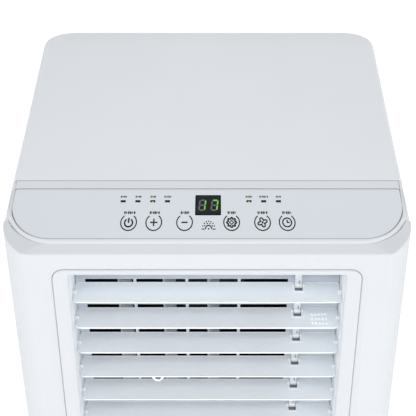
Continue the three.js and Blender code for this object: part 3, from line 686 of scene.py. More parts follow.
# Blades are painted lighter than the shell, as painted light that makes up for the shade the blades cast on
# each other in the outlet.
BLADE_PAINTED_LIGHT = plastic("blade_white", (0.81, 0.845, 0.88), 0.42, 2000, 0.05)
FILM = plastic("panel_film", (0.64, 0.683, 0.722), 0.32, 3000, 0.02, 0.008, coat=0.1)
GLASS = plastic("display_window", (0.004, 0.004, 0.005), 0.2, 2800, 0.01, 0.1, gloss=0.15)
DISPLAY_FACE = plastic("display_face", (0.012, 0.015, 0.017), 0.5, 2800, 0.02, 0.1, gloss=0.1)
SEGMENT_OFF = plastic("segment_unlit", (0.14, 0.146, 0.15), 0.6, 2800, 0.02, 0.06, gloss=0.1)
SEGMENT_ON = glowing("segment_lit", (0.16, 0.55, 0.05), 0.32)
INK = plastic("panel_ink", (0.014, 0.016, 0.019), 0.7, 2800, 0.03, 0.08, gloss=0.1)
PALE_INK = plastic("panel_ink_pale", (0.04, 0.044, 0.048), 0.7, 2800, 0.03, 0.08, gloss=0.1)
# Dark grey for strips that stand in for the shade in seams, gaps and notches: painted shade.
SHADE_STRIP = plastic("shade_strip_grey", (0.15, 0.16, 0.17), 0.8, 900, 0.15, 0.1, gloss=0.2)
BLACK = plastic("black_plastic", (0.022, 0.023, 0.025), 0.5, 1300, 0.14, 0.14)
# Near black for the housing seen through the guard slots: painted shade of the deep interior.
SHADE_LINER = plastic("duct_painted_shade", (0.0035, 0.0035, 0.004), 0.9, 900, 0.2, 0.15)
RUBBER = plastic("tyre_rubber", (0.055, 0.057, 0.06), 0.78, 900, 0.25, 0.14)
BOARD = plastic("circuit_board", (0.02, 0.13, 0.06), 0.4, 700, 0.2, 0.2)
KEY = plastic("key_plastic", (0.6, 0.62, 0.64), 0.5, 1800, 0.06)
FOAM = foam("foam_housing", (0.62, 0.63, 0.62))
FINS = finned("coil_fins", (0.62, 0.65, 0.68))
COPPER = metal("copper_pipe", (0.72, 0.36, 0.2), 0.32, (1, 1, 40))
PAINT = plastic("motor_paint", (0.03, 0.032, 0.036), 0.34, 500, 0.15, 0.2, coat=0.2)
ZINC = metal("screw_zinc", (0.62, 0.62, 0.63), 0.36, (30, 30, 30))
MESH = woven("filter_mesh", (0.06, 0.068, 0.075))


# ---------------------------------------------------------------- casing
def side_fall(inset):
    """How far the top has rounded down at a distance in from the side of the cabinet."""
    t = min(1, max(0, inset / SIDE_REACH))
    return SIDE_DROP * (1 - math.sqrt(1 - (1 - t) ** 2))


def top_cover():
    """Cap that rounds over into its sides and, with a broad roll, into its back."""
    start = SEAM_Y + SEAM
    straight, bend = (0, 20, 50, 80), 14                # points along each side and round each corner
    side_depth, back_depth = 30, 42                     # how far in the rounding reaches
    crown, crown_run = 1.3, 70                          # fall at the sides, and the length it fades in over
    rise = TOP - CAP_Z - 2
    radius = REAR_RADIUS + 2
    power = 3.4                                         # squareness of the roll at the back
    shares = [0, 0.002, 0.008, 0.02, 0.04, 0.065, 0.095, 0.13, 0.18, 0.25, 0.35, 0.48, 0.62, 0.78, 1]
    rings = []
    for share in [None] + shares:
        t = share or 0
        x, y = HALF_W - side_depth * t, BACK - back_depth * t
        right = [(x, start + step) for step in straight]
        right += arc(x - radius, y - radius, radius, radius, 0, 90, bend)
        back_fall = rise * (1 - (1 - (1 - t) ** power) ** (1 / power))
        ring = []
        for k, (u, v) in enumerate(right):
            turn = math.radians(90 * max(0, k - len(straight)) / bend)
            ease = min(1, (v - start) / crown_run)
            side = side_fall(side_depth * t) + crown * (1 - t) ** 2 * ease
            fall = side * math.cos(turn) ** 2 + back_fall * math.sin(turn) ** 2
            ring.append((u, v, CAP_Z if share is None else TOP - fall))
        rings.append(ring + [(-u, v, w) for u, v, w in ring[::-1]])
    b = Build().loft(rings, closed=False).flat(on_z(TOP), [(x, y) for x, y, _ in rings[-1]]).merge()
    # painted lighter than the shell: painted light on the top
    cap = b.piece("top_cover", "cabinet", "shell_white", TOP_SHELL_PAINTED_LIGHT, centre=(0, 50, 600))
    thicken(cap, edge=0.3)


def shade_strips():
    """Dark grey strips put in the seam behind the panel and round the control film, as painted shade in
    those gaps.
    """
    depth = 16
    steps = [0.6, 1.2, 2, 3, 4.2, SIDE_REACH]
    across = [-HALF_W + d for d in steps] + [HALF_W - d for d in steps[::-1]]
    outline = [(x, TOP - 0.16 - side_fall(HALF_W - abs(x))) for x in across]
    outline += [(across[-1], TOP - depth), (across[0], TOP - depth)]
    faces = (SEAM_Y - SEAM - 0.2, SEAM_Y + SEAM + 0.2)
    seam_shade_strip = Build().loft([[(x, y, z) for x, z in outline] for y in faces])
    seam_shade_strip.piece("seam_painted_shade", "cabinet", "black_plastic", SHADE_STRIP)
    low, high = film_low.z - 0.28, TOP - SHADE_STRIP_DEPTH
    outer, inner = GROOVE / 2 - 0.02, -GROOVE / 2 - 0.3
    loops = ((outer, low), (outer, high), (inner, high), (inner, low))
    groove_shade_strip = Build().loft([[(x, y, z) for x, y in film_outline(grow)] for grow, z in loops], wrap=True)
    groove_shade_strip.piece("film_groove_painted_shade", "cabinet", "black_plastic", SHADE_STRIP)


def rear_cover():
    """Rear shell with openings for the grilles, collar, drain, cord plate and hand grips."""
    gap = 0.3
    low, high = SHELL_Z, CAP_Z - 2 * SEAM
    corner_x, corner_y = HALF_W - REAR_RADIUS, BACK - REAR_RADIUS
    drain_x, _, drain_z = middle_mm("drain_socket")
    holes = [opening(*face_mm(name), 1, 6)(gap) for name in ("intake_grille_upper", "intake_grille_lower")]
    holes.append(circle(0, middle_mm("exhaust_collar")[2], EXHAUST_OUTER + gap, 64))
    holes.append(circle(drain_x, drain_z, DRAIN_OUTER + gap, 32))
    holes.append(opening(*face_mm("cord_gland"), 4, 6)(gap))
    back = [(-corner_x, low), (corner_x, low), (corner_x, high), (-corner_x, high)]
    b = Build().flat(on_y(BACK), back, *holes)
    cup_low, cup_high = box_mm("handle_cup_right")
    grip = opening(cup_low.y, cup_high.y, cup_low.z, cup_high.z, 21, 8)(gap)
    start = SEAM_Y + SEAM
    side_face = [(start, low), (corner_y, low), (corner_y, high), (start, high)]
    bend = arc(corner_x, corner_y, REAR_RADIUS, REAR_RADIUS, 0, 90, 14)
    for side in (1, -1):
        b.flat(on_x(side * HALF_W), side_face, grip)
        b.loft([[(side * x, y, z) for x, y in bend] for z in (low, high)], closed=False)
    b.merge()
    thicken(b.piece("rear_cover", "cabinet", "shell_white", SHELL_PAINTED_SHADE, centre=(0, 30, 360)))


def front_cover():
    """Front shell: flat face with soft creases, wide corners, and a sloping ledge below the panel rim."""
    chin_edge = 1.3
    low, side_top, chin = SHELL_Z, CAP_Z - 2 * SEAM, CHIN_Z - chin_edge
    corner = front_corner(0)
    outer = mirrored(corner) + corner
    # side strips behind the step, up to the seam under the panel moulding
    b = Build()
    strip = [corner[-1], (HALF_W, CORNER_Y), (HALF_W, SEAM_Y - SEAM)]
    for side in (1, -1):
        for plan, levels in ((strip, (low, side_top)), (corner, (low, side_top, chin))):
            b.loft([[(side * x, y, z) for x, y in plan] for z in levels], closed=False)
    # flat face with the shallow dish round the outlet frame
    dish, depth, lip, gap, steps = 5.5, 0.85, 0.9, 0.12, 6
    frame_x = frame_high.x + gap
    outlet = opening(-frame_x, frame_x, frame_low.z - gap, frame_high.z + gap, FRAME_RADIUS, 8)
    right = [(corner[0][0], z) for z in (low, side_top, chin)]
    b.flat(on_y(FRONT), right + mirrored(right), outlet(dish))
    levels = []
    for i in range(steps + 1):
        t = i / steps
        levels.append((dish * (1 - t) + lip * t, FRONT + depth * t * t * (3 - 2 * t)))
    levels += [(lip * (1 - s), FRONT + depth + lip * (1 - c)) for s, c in quarter(3)[1:]]
    b.wall(on_y, outlet, levels)
    # chin edge and ledge
    rings = [[(x - n.x * chin_edge * (1 - c), y - n.y * chin_edge * (1 - c), CHIN_Z - chin_edge * (1 - s))
              for (x, y), n in zip(outer, normals_of(outer))] for s, c in quarter(4)]
    rim = resampled([p for p in rim_outline(GROOVE * 0.6, STEP_Y) if p[1] < STEP_Y - 0.3], outer)
    rings.append([(x, y, CHIN_Z + CHIN_RISE - 0.25) for x, y in rim])
    b.loft(rings, closed=False).merge(0.01)
    shell = b.piece("front_cover", "cabinet", "shell_white", SHELL_PAINTED_SHADE, centre=(0, -60, 360))
    thicken(shell, edge=0.35)


def shares_of(line):
    """How far along an open outline each of its points lies, from 0 to 1."""
    run = [0.0]
    for a, b in zip(line, line[1:]):
        run.append(run[-1] + math.dist(a, b))
    return [r / run[-1] for r in run]


def resampled(points, like):
    """Points along an open outline at the same shares of its length as another outline's points."""
    tiny = 1e-9
    own = shares_of(points)
    made = []
    for share in shares_of(like):
        i = max(1, next((k for k, s in enumerate(own) if s >= share - tiny), len(own) - 1))
        t = (share - own[i - 1]) / max(own[i] - own[i - 1], tiny)
        made.append(tuple(p + (q - p) * min(t, 1) for p, q in zip(points[i - 1], points[i])))
    return made


def rim_rounding(y, n):
    """How far in and how far down the panel rim is rounded, at a place with outward normal n."""
    corner, front, side, front_drop = 2.5, 3.9, 3.3, 3.0
    swing = (n.x ** 2 - n.y ** 2) ** 2
    reach = corner + (front - corner) * swing * n.y ** 2 + (side - corner) * swing * n.x ** 2
    if y > STEP_Y - 0.1:
        reach = SIDE_REACH + 1.8 * (1 - min(1, (y - STEP_Y) / STEP_RUN)) ** 2
    return reach, front_drop + (SIDE_DROP - front_drop) * n.x ** 6


def control_moulding():
    """Raised surround of the control film, rounded over at the sides, with a pocket for the film."""
    outline = rim_outline(0, SEAM_Y - SEAM)
    normals = [Vector((math.copysign(1, x), 0)) if y > STEP_Y - 0.1 else n
               for (x, y), n in zip(outline, normals_of(outline))]
    rings = [[(x, y, CAP_Z) for x, y in outline]]
    for s, c in quarter(9):
        ring = []
        for (x, y), n in zip(outline, normals):
            reach, drop = rim_rounding(y, n)
            ring.append((x - n.x * reach * (1 - c), y - n.y * reach * (1 - c), TOP - drop * (1 - s)))
        rings.append(ring)
    lip = 0.22
    b = Build().loft(rings, closed=False)
    b.flat(on_z(TOP), [(x, y) for x, y, _ in rings[-1]], film_outline(GROOVE / 2 + lip))
    pocket = film_low.z - 0.3
    levels = [(lip * (1 - s), TOP - lip * (1 - c)) for s, c in quarter(3)]
    b.wall(on_z, lambda grow: film_outline(GROOVE / 2 + grow), levels + [(0, pocket)])
    holes = [circle(*key_centre(name), KEY_RADIUS + 0.4, 24) for name in KEY_NAMES]
    b.flat(on_z(pocket), film_outline(GROOVE / 2), rounded_rect(*window_box(0.3), 0.6), *holes)
    b.merge()
    # moulding colour painted darker: painted shade
    moulding = b.piece("control_moulding", "cabinet", "trim_white", RIM_PAINTED_SHADE,
                       centre=(0, -110, 600))
    thicken(moulding, wall=1.6, edge=0.28)


def base_pan():
    """Skirted base with a raised floor, castor sockets, a drain block and two ribs under the coil."""
    top = SHELL_Z - 2 * SEAM
    floor_low = SKIRT_Z + 12
    floor_high = floor_low + 3.5
    skirt = 3
    rim = [(skirt, floor_low), (skirt, SKIRT_Z + 0.6), (2.4, SKIRT_Z), (0.9, SKIRT_Z),
           (0.26, SKIRT_Z + 0.26), (0, SKIRT_Z + 0.9), (0, top - 0.8), (0.24, top - 0.24), (0.8, top),
           (2.5, top), (skirt, top - 0.5), (skirt, floor_high)]
    b = Build().wall(on_z, whole_plan, rim)
    stems = [castor_centre(i) for i in range(1, 5)]
    bore, boss = (4.3, floor_low, 57), (8, floor_high, 60)
    for radius, floor, end in (bore, boss):
        b.flat(on_z(floor), whole_plan(skirt), *[circle(x, y, radius, 24) for x, y in stems])
        for x, y in stems:
            ring = circle(x, y, radius, 24)
            b.loft([[(u, v, z) for u, v in ring] for z in (floor, end)], caps=False)
            b.flat(on_z(end), ring)
    pan = b.merge().piece("base_pan", "cabinet", "shell_white", SHELL_PAINTED_SHADE)
    x, _, z = middle_mm("drain_cap_lower")
    join(pan, Build().block((x - 13, x + 13), (BACK - 14, BACK - 1), (SKIRT_Z + 0.6, top - 0.6), 0.6))
    for radius, start in ((8.6, BACK - 4.5), (3.6, BACK - 20)):
        cut(pan, Build().turned("y", x, z, [(radius, start), (radius, BACK + 2)]))
    coil_low, coil_high = box_mm("condenser_coil")
    rib_x, rib_half = 96, 3
    for x in (-rib_x, rib_x):
        join(pan, Build().block((x - rib_half, x + rib_half), (coil_low.y + 2, coil_high.y - 2),
                                (floor_high - 1, coil_low.z - 0.3)))
    smooth_flats(pan)


# ---------------------------------------------------------------- castors
def castor_centre(i):
    hinge = hinge_mm(f"castor_{i}_swivel")
    return hinge.x, hinge.y


def castor_fork(i):
    """Stem, crown, hood and two legs with the axle between them."""
    x, y = castor_centre(i)
    low, high = box_mm(f"castor_wheel_{i}")
    _, axle_y, axle_z = middle_mm(f"castor_wheel_{i}")
    half = (high.x - low.x) / 2 + 0.6
    stem, axle, boss, boss_rise, leg_width = 3.9, 2.4, 3.6, 1.2, 2.4
    crown = high.z + 1.4
    b = Build().pin("z", x, y, stem, crown, box_mm(f"castor_fork_{i}")[1].z)
    b.turned("z", x, y, [(11, crown), (11.5, crown + 0.5), (11.5, crown + 2.2), (10.8, crown + 3),
                         (6.5, crown + 3.4), (6.5, 45.4), (6.1, 45.7)], 40)
    hood = []
    for t in range(9):
        a = math.radians(180 * t / 8)
        hood.append((y - 1 - 10 * math.cos(a), crown + 2.8 * math.sin(a) ** 0.6))
    hood += [(y + 9, crown - 0.2), (y - 11, crown - 0.2)]
    b.loft([[(u, v, w) for v, w in hood] for u in (x - half - leg_width, x + half + leg_width)])

    def leg(inset):
        foot = arc(axle_y, axle_z, 5 - inset, 5 - inset, 200, 340, 10)
        return foot + [(y + 9 - inset, crown + 0.8), (y - 11 + inset, crown + 0.8)]

    for side in (-1, 1):
        inner, outer = x + side * half, x + side * (half + leg_width)
        b.slab(on_x, *sorted((inner, outer)), 0.5, leg)
        b.pin("x", axle_y, axle_z, boss, *sorted((outer, outer + side * boss_rise)), 0.5)
    b.pin("x", axle_y, axle_z, axle, x - half - 1, x + half + 1)
    b.piece(f"castor_fork_{i}", f"castor_{i}_fork", "black_plastic", BLACK)


def castor_wheel(i):
    """Rubber tyre with two grooves on a stepped hub."""
    low, high = box_mm(f"castor_wheel_{i}")
    middle = (low + high) / 2
    radius = (high.z - low.z) / 2
    half = (high.x - low.x) / 2
    profile = [(2.7, -half), (5.5, -half), (6, -half + 0.5), (6.2, -half + 2.2), (12.2, -half + 2.2),
               (12.8, -half + 0.6), (13.4, -half), (radius - 3.4, -half), (radius - 1.6, -half + 0.7),
               (radius - 0.5, -half + 2), (radius, -half + 4)]
    tread = []
    for groove in (-1.6, 1.6):
        tread += [(radius, groove - 0.5), (radius - 0.6, groove - 0.3), (radius - 0.6, groove + 0.3),
                  (radius, groove + 0.5)]
    ring = [(r, middle.x + at) for r, at in profile + tread]
    ring += [(r, middle.x - at) for r, at in reversed(profile)]
    b = Build().turned("x", middle.y, middle.z, ring, 56, wrap=True)
    b.piece(f"castor_wheel_{i}", f"castor_{i}_wheel", "tyre_rubber", RUBBER, sharp=40)


# ---------------------------------------------------------------- air outlet
def outlet_frame():
    """Rounded face plate and duct in one moulding; the air path is open from front to back."""
    inner_x, inner_z0, inner_z1 = guard_high.x + 0.3, guard_low.z - 0.3, guard_high.z + 0.3
    x1, z0, z1 = frame_high.x, frame_low.z, frame_high.z
    duct_wall, mouth, rim, plate_depth = 2.5, 1.8, 1.1, 3.0
    rings = []

    def add(y, half, bottom, top, radius):
        rings.append([(x, y, z) for x, z in rounded_rect(-half, half, bottom, top, radius, 7)])

    add(frame_high.y, inner_x, inner_z0, inner_z1, 1.0)
    for s, c in quarter(6):
        grow, lift = mouth * (1 - c), 1 - c
        add(FRONT + mouth * (1 - s), inner_x + grow, inner_z0 - lift, inner_z1 + lift, 1.6 + grow)
    for s, c in quarter(5):
        inset = rim * (1 - s)
        add(FRONT + rim * (1 - c), x1 - inset, z0 + inset, z1 - inset, FRAME_RADIUS - inset)
    add(FRONT + plate_depth - 0.3, x1, z0, z1, FRAME_RADIUS)
    add(FRONT + plate_depth, x1 - 0.3, z0 + 0.3, z1 - 0.3, FRAME_RADIUS - 0.3)
    for y in (FRONT + plate_depth, frame_high.y):
        add(y, inner_x + duct_wall, inner_z0 - duct_wall, inner_z1 + duct_wall, 2)
    b = Build().loft(rings, wrap=True)
    # inner walls painted lighter: painted light
    duct = b.piece("outlet_frame", "cabinet", "trim_white", FRAME_PAINTED_LIGHT)
    bores = Build()
    for i in range(LOUVER_COUNT):
        bores.turned("x", louver_axis.y, louver_axis.z - i * LOUVER_PITCH,
                     [(2.2, -inner_x - 4), (2.2, inner_x + 4)], 24)
    for i in range(1, 4):
        hinge = hinge_mm(f"vane_{i}_hinge")
        bores.turned("z", hinge.x, hinge.y, [(1.9, inner_z0 - 4), (1.9, inner_z1 + 4)], 24)
    cut(duct, bores)
    smooth_flats(duct)


def outlet_guard():
    """Slotted plate behind the blades: four columns of round-cornered slots."""
    bar = 4
    slots = []
    for row in range(LOUVER_COUNT):
        high = louver_axis.z + 0.1 - row * LOUVER_PITCH
        low = max(high - LOUVER_PITCH + bar, guard_low.z + bar)
        slots += [opening(*column, low, high, 0.9, 4) for column in GUARD_COLUMNS]
    edge = plate_edge(*face_mm("outlet_guard"), 1.2, 3)
    b = Build().slab(on_y, guard_low.y, guard_high.y, 0.25, edge, *slots)
    # guard colour painted darker: painted shade
    smooth_flats(b.piece("outlet_guard", "cabinet", "trim_white", GUARD_PAINTED_SHADE))


def blade_plan(inset):
    """Plan of a blade about its pivot: wide rounding in front, tighter behind."""
    half_x, front, back = BLADE_HALF - inset, BLADE_FRONT + inset, BLADE_BACK - inset
    wide, tight = 3.4, 1.8
    right = arc(half_x - wide, front + wide, wide, wide, -90, 0, 8)
    right += arc(half_x - tight, back - tight, tight, tight, 0, 90, 5)
    return right + mirrored(right)


def blade_build():
    """Flat plate with a fine raised border, rounded all along its edge."""
    levels = [(0.5, -0.45), (0.14, -0.33), (0, -0.05), (0, 0.5), (0.1, 0.8), (0.34, 0.93), (0.56, 0.89),
              (0.78, 0.74), (1.1, 0.66)]
    b = Build().wall(on_z, blade_plan, levels)
    for inset, level in (levels[0], levels[-1]):
        b.flat(on_z(level), blade_plan(inset))
    return b.merge()


def blade_place(number):
    """From a blade's pivot to where that blade is in the outlet."""
    return Matrix.Translation(Vector((0, louver_axis.y, louver_axis.z - (number - 1) * LOUVER_PITCH)) * MM)


def blade_shape():
    """First blade about its pivot: plate, end pins, and a notch with ears and a pin for the link."""
    # blade colour painted lighter: painted light
    blade = blade_build().moved(BLADE_TURN).piece("louver_1", "louver_1", "blade_white", BLADE_PAINTED_LIGHT)
    low, high = LINK_X
    joined = []
    for side in (-1, 1):
        for radius, ends in ((2.2, (97.5, 98.8)), (1.9, (98.4, 101.4))):
            joined.append(Build().pin("x", 0, 0, radius, *sorted(side * end for end in ends), 0.3, 24))
    joined.append(Build().block((low - 1.7, high + 1.7), (-0.6, BLADE_BACK - 0.3), (-0.4, 0.95), 0.3))
    for x in ((low - 2.2, low - 0.2), (high + 0.2, high + 2.2)):
        joined.append(Build().block(x, (6.4, 10.6), (-1.6, 1.7)))
    for build in joined:
        join(blade, build.moved(BLADE_TURN))
    cut(blade, Build().block((low - 0.5, high + 0.5), (1.0, 16), (-5, 5)).moved(BLADE_TURN))
    join(blade, Build().pin("x", CRANK, 0, 1.1, low - 1.5, high + 1.5, 0.1, 20).moved(BLADE_TURN))
    return blade


def louvers():
    """Six blades on a common tilt; one carries grip bumps and one a finger tab."""
    first = blade_shape()
    blades = [first]
    for i in range(2, LOUVER_COUNT + 1):
        twin = bpy.data.objects.new(f"louver_{i}", first.data.copy())
        twin.data.name = f"louver_{i}"
        bpy.context.scene.collection.objects.link(twin)
        blades.append(twin)
    for i, blade in enumerate(blades, start=1):
        blade.data.transform(blade_place(i))
        shade(blade)
        smooth_flats(blade)
        if i > 1:
            assign(blade, f"louver_{i}", f"louver_{i}")
        # A dark block under each blade at the link stands in for the shade in the notch: painted shade.
        shade_pad = Build().block((LINK_X[0] - 1.2, LINK_X[1] + 1.2), (0.2, 6.8), (-1.5, -0.6), 0.2)
        shade_pad.moved(blade_place(i) @ BLADE_TURN)
        shade_pad.piece(f"louver_{i}_pad", f"louver_{i}", "black_plastic", SHADE_STRIP)
    grip_bumps()
    finger_tab()


def grip_bumps():
    """Three rows of small domes near the right end of a blade."""
    columns, rows = 5, 3
    dome = [(0.85, 0.4), (0.85, 1.0), (0.78, 1.3), (0.52, 1.5), (0.18, 1.58)]
    b = Build()
    for column in range(columns):
        for row in range(rows):
            b.turned("z", 79.6 + 2.62 * column, 3.5 - 5.3 * row, dome, 20)
    b.moved(blade_place(BUMP_LOUVER) @ BLADE_TURN)
    # domes painted lighter than their blade: painted highlight
    b.piece("louver_2_bumps", f"louver_{BUMP_LOUVER}", "blade_white", BUMP_PAINTED_HIGHLIGHT, sharp=50)


def finger_tab():
    """Hollow V that hangs from the front edge of a blade."""
    outer = [(1.3, -4.4), (1.9, -4.2), (5.6, 0.3)]
    hollow = [(0.9, -3.3), (1.3, -3.1), (4.1, 0.3)]
    loop = [(TAB_X + x, z) for x, z in mirrored(outer) + outer + (mirrored(hollow) + hollow)[::-1]]
    b = Build().prism(on_y, loop, BLADE_FRONT + 0.1, BLADE_FRONT + 1.5).merge(0.001)
    b.moved(blade_place(TAB_LOUVER) @ BLADE_TURN)
    bevelled(b.piece("louver_4_tab", f"louver_{TAB_LOUVER}", "blade_white", BLADE_PAINTED_LIGHT), 0.25)


def louver_link():
    """Upright bar that couples the blades, with an open clip round each crank pin."""
    low, high = box_mm("louver_link")
    turn = math.radians(LOUVER_TILT)
    y = louver_axis.y + CRANK * math.cos(turn)
    middle = middle_mm("louver_link")[0]
    b = Build().block((low.x, high.x), (y - 1.2, y + 1.2), (low.z, high.z))
    bar = b.piece("louver_link", "louver_link", "trim_white", LINK)
    clips = [louver_axis.z - i * LOUVER_PITCH + CRANK * math.sin(turn) for i in range(LOUVER_COUNT)]
    through = (y - 3, y + 3)
    for z in clips:
        join(bar, Build().pin("x", y, z, 2.5, low.x, high.x, 0.35, 28))
    for z in clips:
        cut(bar, Build().turned("x", y, z, [(1.4, low.x - 2), (1.4, high.x + 2)], 20))
        cut(bar, Build().block((low.x + 0.7, high.x - 0.7), through, (z - 6.4, z - 1.0), 0.3))
        cut(bar, Build().block((middle + 0.3, middle + 1.3), through, (z + 2.6, z + 6.5), 0.2))
    smooth_flats(bar)


def vanes():
    """Upright vanes behind the guard and the bar that couples them near their feet."""
    turn = Matrix.Rotation(math.radians(VANE_TURN), 4, "Z")
    crank = 7
    eyes = []
    link_low, link_high = box_mm("vane_link")
    _, link_y, link_z = middle_mm("vane_link")
    for i in range(1, 4):
        hinge = hinge_mm(f"vane_{i}_hinge")
        low, high = box_mm(f"vane_{i}")
        foot, head = low.z + 2.2, high.z - 2.2
        b = Build().block((-0.8, 0.8), (-10, 10), (foot, head), 0.55)
        vane = b.piece(f"vane_{i}", f"vane_{i}", "blade_white", VANE)
        cut(vane, Build().block((-3, 3), (3.4, 12), (link_z - 3, link_z + 3), 0.3))
        for start, end in ((low.z, foot + 3), (head - 3, high.z)):
            join(vane, Build().pin("z", 0, 0, 1.6, start, end, 0.25, 20))
        join(vane, Build().pin("z", 0, crank, 0.8, link_z - 4, link_z + 4, 0.1, 16))
        vane.data.transform(turn)
        vane.data.transform(Matrix.Translation(Vector((hinge.x, hinge.y, 0)) * MM))
        smooth_flats(vane)
        eyes.append(hinge.x - crank * math.sin(math.radians(VANE_TURN)))

    def eye(x):
        return lambda grow: circle(x, link_y, 1.1 + grow, 20)[::-1]

    edge = plate_edge(link_low.x, link_high.x, link_low.y, link_high.y, 2, 5, follow=1)
    b = Build().slab(on_z, link_low.z, link_high.z, 0.35, edge, *[eye(x) for x in eyes])
    smooth_flats(b.piece("vane_link", "vane_link", "trim_white", TRIM))


# ---------------------------------------------------------------- control panel
def control_film():
    left, right, front, back = window_box(0.2)

    def edge(inset):
        return film_outline(-GROOVE / 2 - inset)

    def window(grow):
        return rounded_rect(left - grow, right + grow, front - grow, back + grow, 0.7, 4)

    b = Build().slab(on_z, film_low.z, FILM_TOP, 0.12, edge, window)
    smooth_flats(b.piece("control_film", "cabinet", "panel_film", FILM))


def window_box(grow=0.0):
    """Left, right, front and back of the display glass, grown by an amount."""
    low, high = box_mm("display_window")
    return low.x + 1.2 - grow, high.x + grow, low.y + 0.7 - grow, high.y + grow


def display_window():
    """Black glass with a slightly lighter face that carries the two digits."""
    left, right, front, back = window_box()
    edge = plate_edge(left, right, front, back, 0.6, 4)
    b = Build().slab(on_z, box_mm("display_window")[0].z, FILM_TOP, 0.15, edge)
    smooth_flats(b.piece("display_window", "cabinet", "display_black", GLASS))
    mark("display_face", rounded_rect(left + 0.9, right - 0.9, front + 1.9, back - 0.9, 0.4, 3),
         DISPLAY_FACE, "display_black", rise=0.04)
    digit("left", -3.7, lit="bc")
    digit("right", 5.4, lit="abc")


def digit(name, x, lit):
    """Seven slanted segments of one figure, drawn long because they are read from the front."""
    _, _, front, back = window_box()
    middle_y = (front + back) / 2 - 0.3
    half_w, half_h, gap = 2.1, 6.1, 0.3
    slant = 0.08
    thick_x, thick_y = 0.5, 0.82

    def bar(x0, y0, x1, y1):
        if x0 == x1:
            s = thick_x
            points = [(x0 - s, y0 + s), (x0, y0 + s * 0.2), (x0 + s, y0 + s), (x1 + s, y1 - s),
                      (x1, y1 - s * 0.2), (x1 - s, y1 - s)]
        else:
            s = thick_y
            points = [(x0 + s * 0.7, y0 - s), (x1 - s * 0.7, y0 - s), (x1 - 0.1, y0),
                      (x1 - s * 0.7, y0 + s), (x0 + s * 0.7, y0 + s), (x0 + 0.1, y0)]
        return [(x + u + slant * v, middle_y + v) for u, v in points]

    segments = {}
    for key, y in (("a", half_h), ("g", 0), ("d", -half_h)):
        segments[key] = bar(-half_w + gap, y, half_w - gap, y)
    for key, side, y in (("b", 1, 0), ("c", 1, -half_h), ("f", -1, 0), ("e", -1, -half_h)):
        segments[key] = bar(side * half_w, y + gap, side * half_w, y + half_h - gap)
    for key, outline in segments.items():
        mark(f"digit_{name}_{key}", outline, SEGMENT_ON if key in lit else SEGMENT_OFF, "display_black",
             base=FILM_TOP + 0.02)


def mark(name, outlines, material, slot, base=None, rise=0.06):
    """Thin printed shape or shapes lying on the control film."""
    base = FILM_TOP - 0.03 if base is None else base
    b = Build()
    for outline in outlines if isinstance(outlines[0][0], tuple) else [outlines]:
        b.prism(on_z, outline, base, FILM_TOP + rise)
    b.merge(0.001).piece(name, "cabinet", slot, material)


def stroke(points, width, closed):
    """Outline of a line of a given width through flat points, as one closed loop or two."""
    normals = normals_of(points, closed)
    half = width / 2
    outer = [(x + n.x * half, y + n.y * half) for (x, y), n in zip(points, normals)]
    inner = [(x - n.x * half, y - n.y * half) for (x, y), n in zip(points, normals)]
    return outer, inner


def printed(name, x, y, shapes):
    """One printed symbol from lines, rings and filled loops given about its own centre."""
    base, top = FILM_TOP - 0.03, FILM_TOP + 0.06
    b = Build()

    def placed(points):
        return [(x + u, y + v * READ_STRETCH) for u, v in points]

    for kind, points, *width in shapes:
        if kind == "fill":
            b.prism(on_z, placed(points), base, top)
            continue
        outer, inner = stroke(points, *width, closed=kind == "ring")
        if kind == "ring":
            outer, inner = placed(outer), placed(inner)
            b.loft([[(u, v, z) for u, v in loop] for loop, z in
                    ((outer, base), (outer, top), (inner, top), (inner, base))], wrap=True)
        else:
            b.prism(on_z, placed(outer + inner[::-1]), base, top)
    b.merge(0.001).piece(name, "cabinet", "panel_film", INK)


def gear(teeth, radius, depth):
    points = []
    for i in range(teeth * 6):
        a = math.radians(360 * i / (teeth * 6))
        r = radius - depth / 2 + depth / 2 * max(-1, min(1, math.cos(teeth * a) * 1.6))
        points.append((r * math.cos(a), r * math.sin(a)))
    return points


def petals(count, radius, waist):
    points = []
    steps = count * 12
    for i in range(steps):
        around = math.radians(360 * i / steps)
        r = waist + (radius - waist) * (0.5 + 0.5 * math.cos(count * around)) ** 0.6
        a = around + math.radians(20)
        points.append((r * math.cos(a), r * math.sin(a)))
    return points


def key_marks():
    """Open ring round each key with its symbol inside."""
    line, bold = 0.95, 1.15
    ring_x, ring_y, ring_width = 5.72, 5.85, 0.84
    gap_start, gap_end = 54, 126            # degrees; each ring is open at its far side
    ring = [("line", arc(0, 0, ring_x, ring_y, gap_end, 360 + gap_start, 56), ring_width)]
    symbols = {
        "power": [("line", arc(0, -0.3, 2.9, 2.9, -238, 58, 24), bold),
                  ("line", [(0, -0.4), (0, 3.4)], bold)],
        "up": [("line", [(-2.7, 0), (-0.5, 0)], 1.0), ("line", [(0.5, 0), (2.7, 0)], 1.0),
               ("line", [(0, -2.7), (0, 2.7)], 1.0)],
        "down": [("line", [(-2.3, 0), (2.3, 0)], 1.0)],
        "mode": [("ring", gear(8, 3.6, 1.0), 1.1),
                 ("ring", [(1.5, 0), (0, 1.5), (-1.5, 0), (0, -1.5)], line)],
        "speed": [("ring", petals(4, 3.5, 1.35), line), ("fill", circle(0, 0, 0.75, 12))],
        "timer": [("ring", circle(0, 0, 3.2, 40), line), ("line", [(0, -0.45), (0, 2.0)], line),
                  ("line", [(0.48, 0), (1.8, 0)], line)],
    }
    for name in KEY_NAMES:
        x, y = key_centre(name)
        printed(f"key_{name}_ring", x, y + 0.5, ring)
        printed(f"key_{name}_symbol", x, y + 0.5, symbols[name])


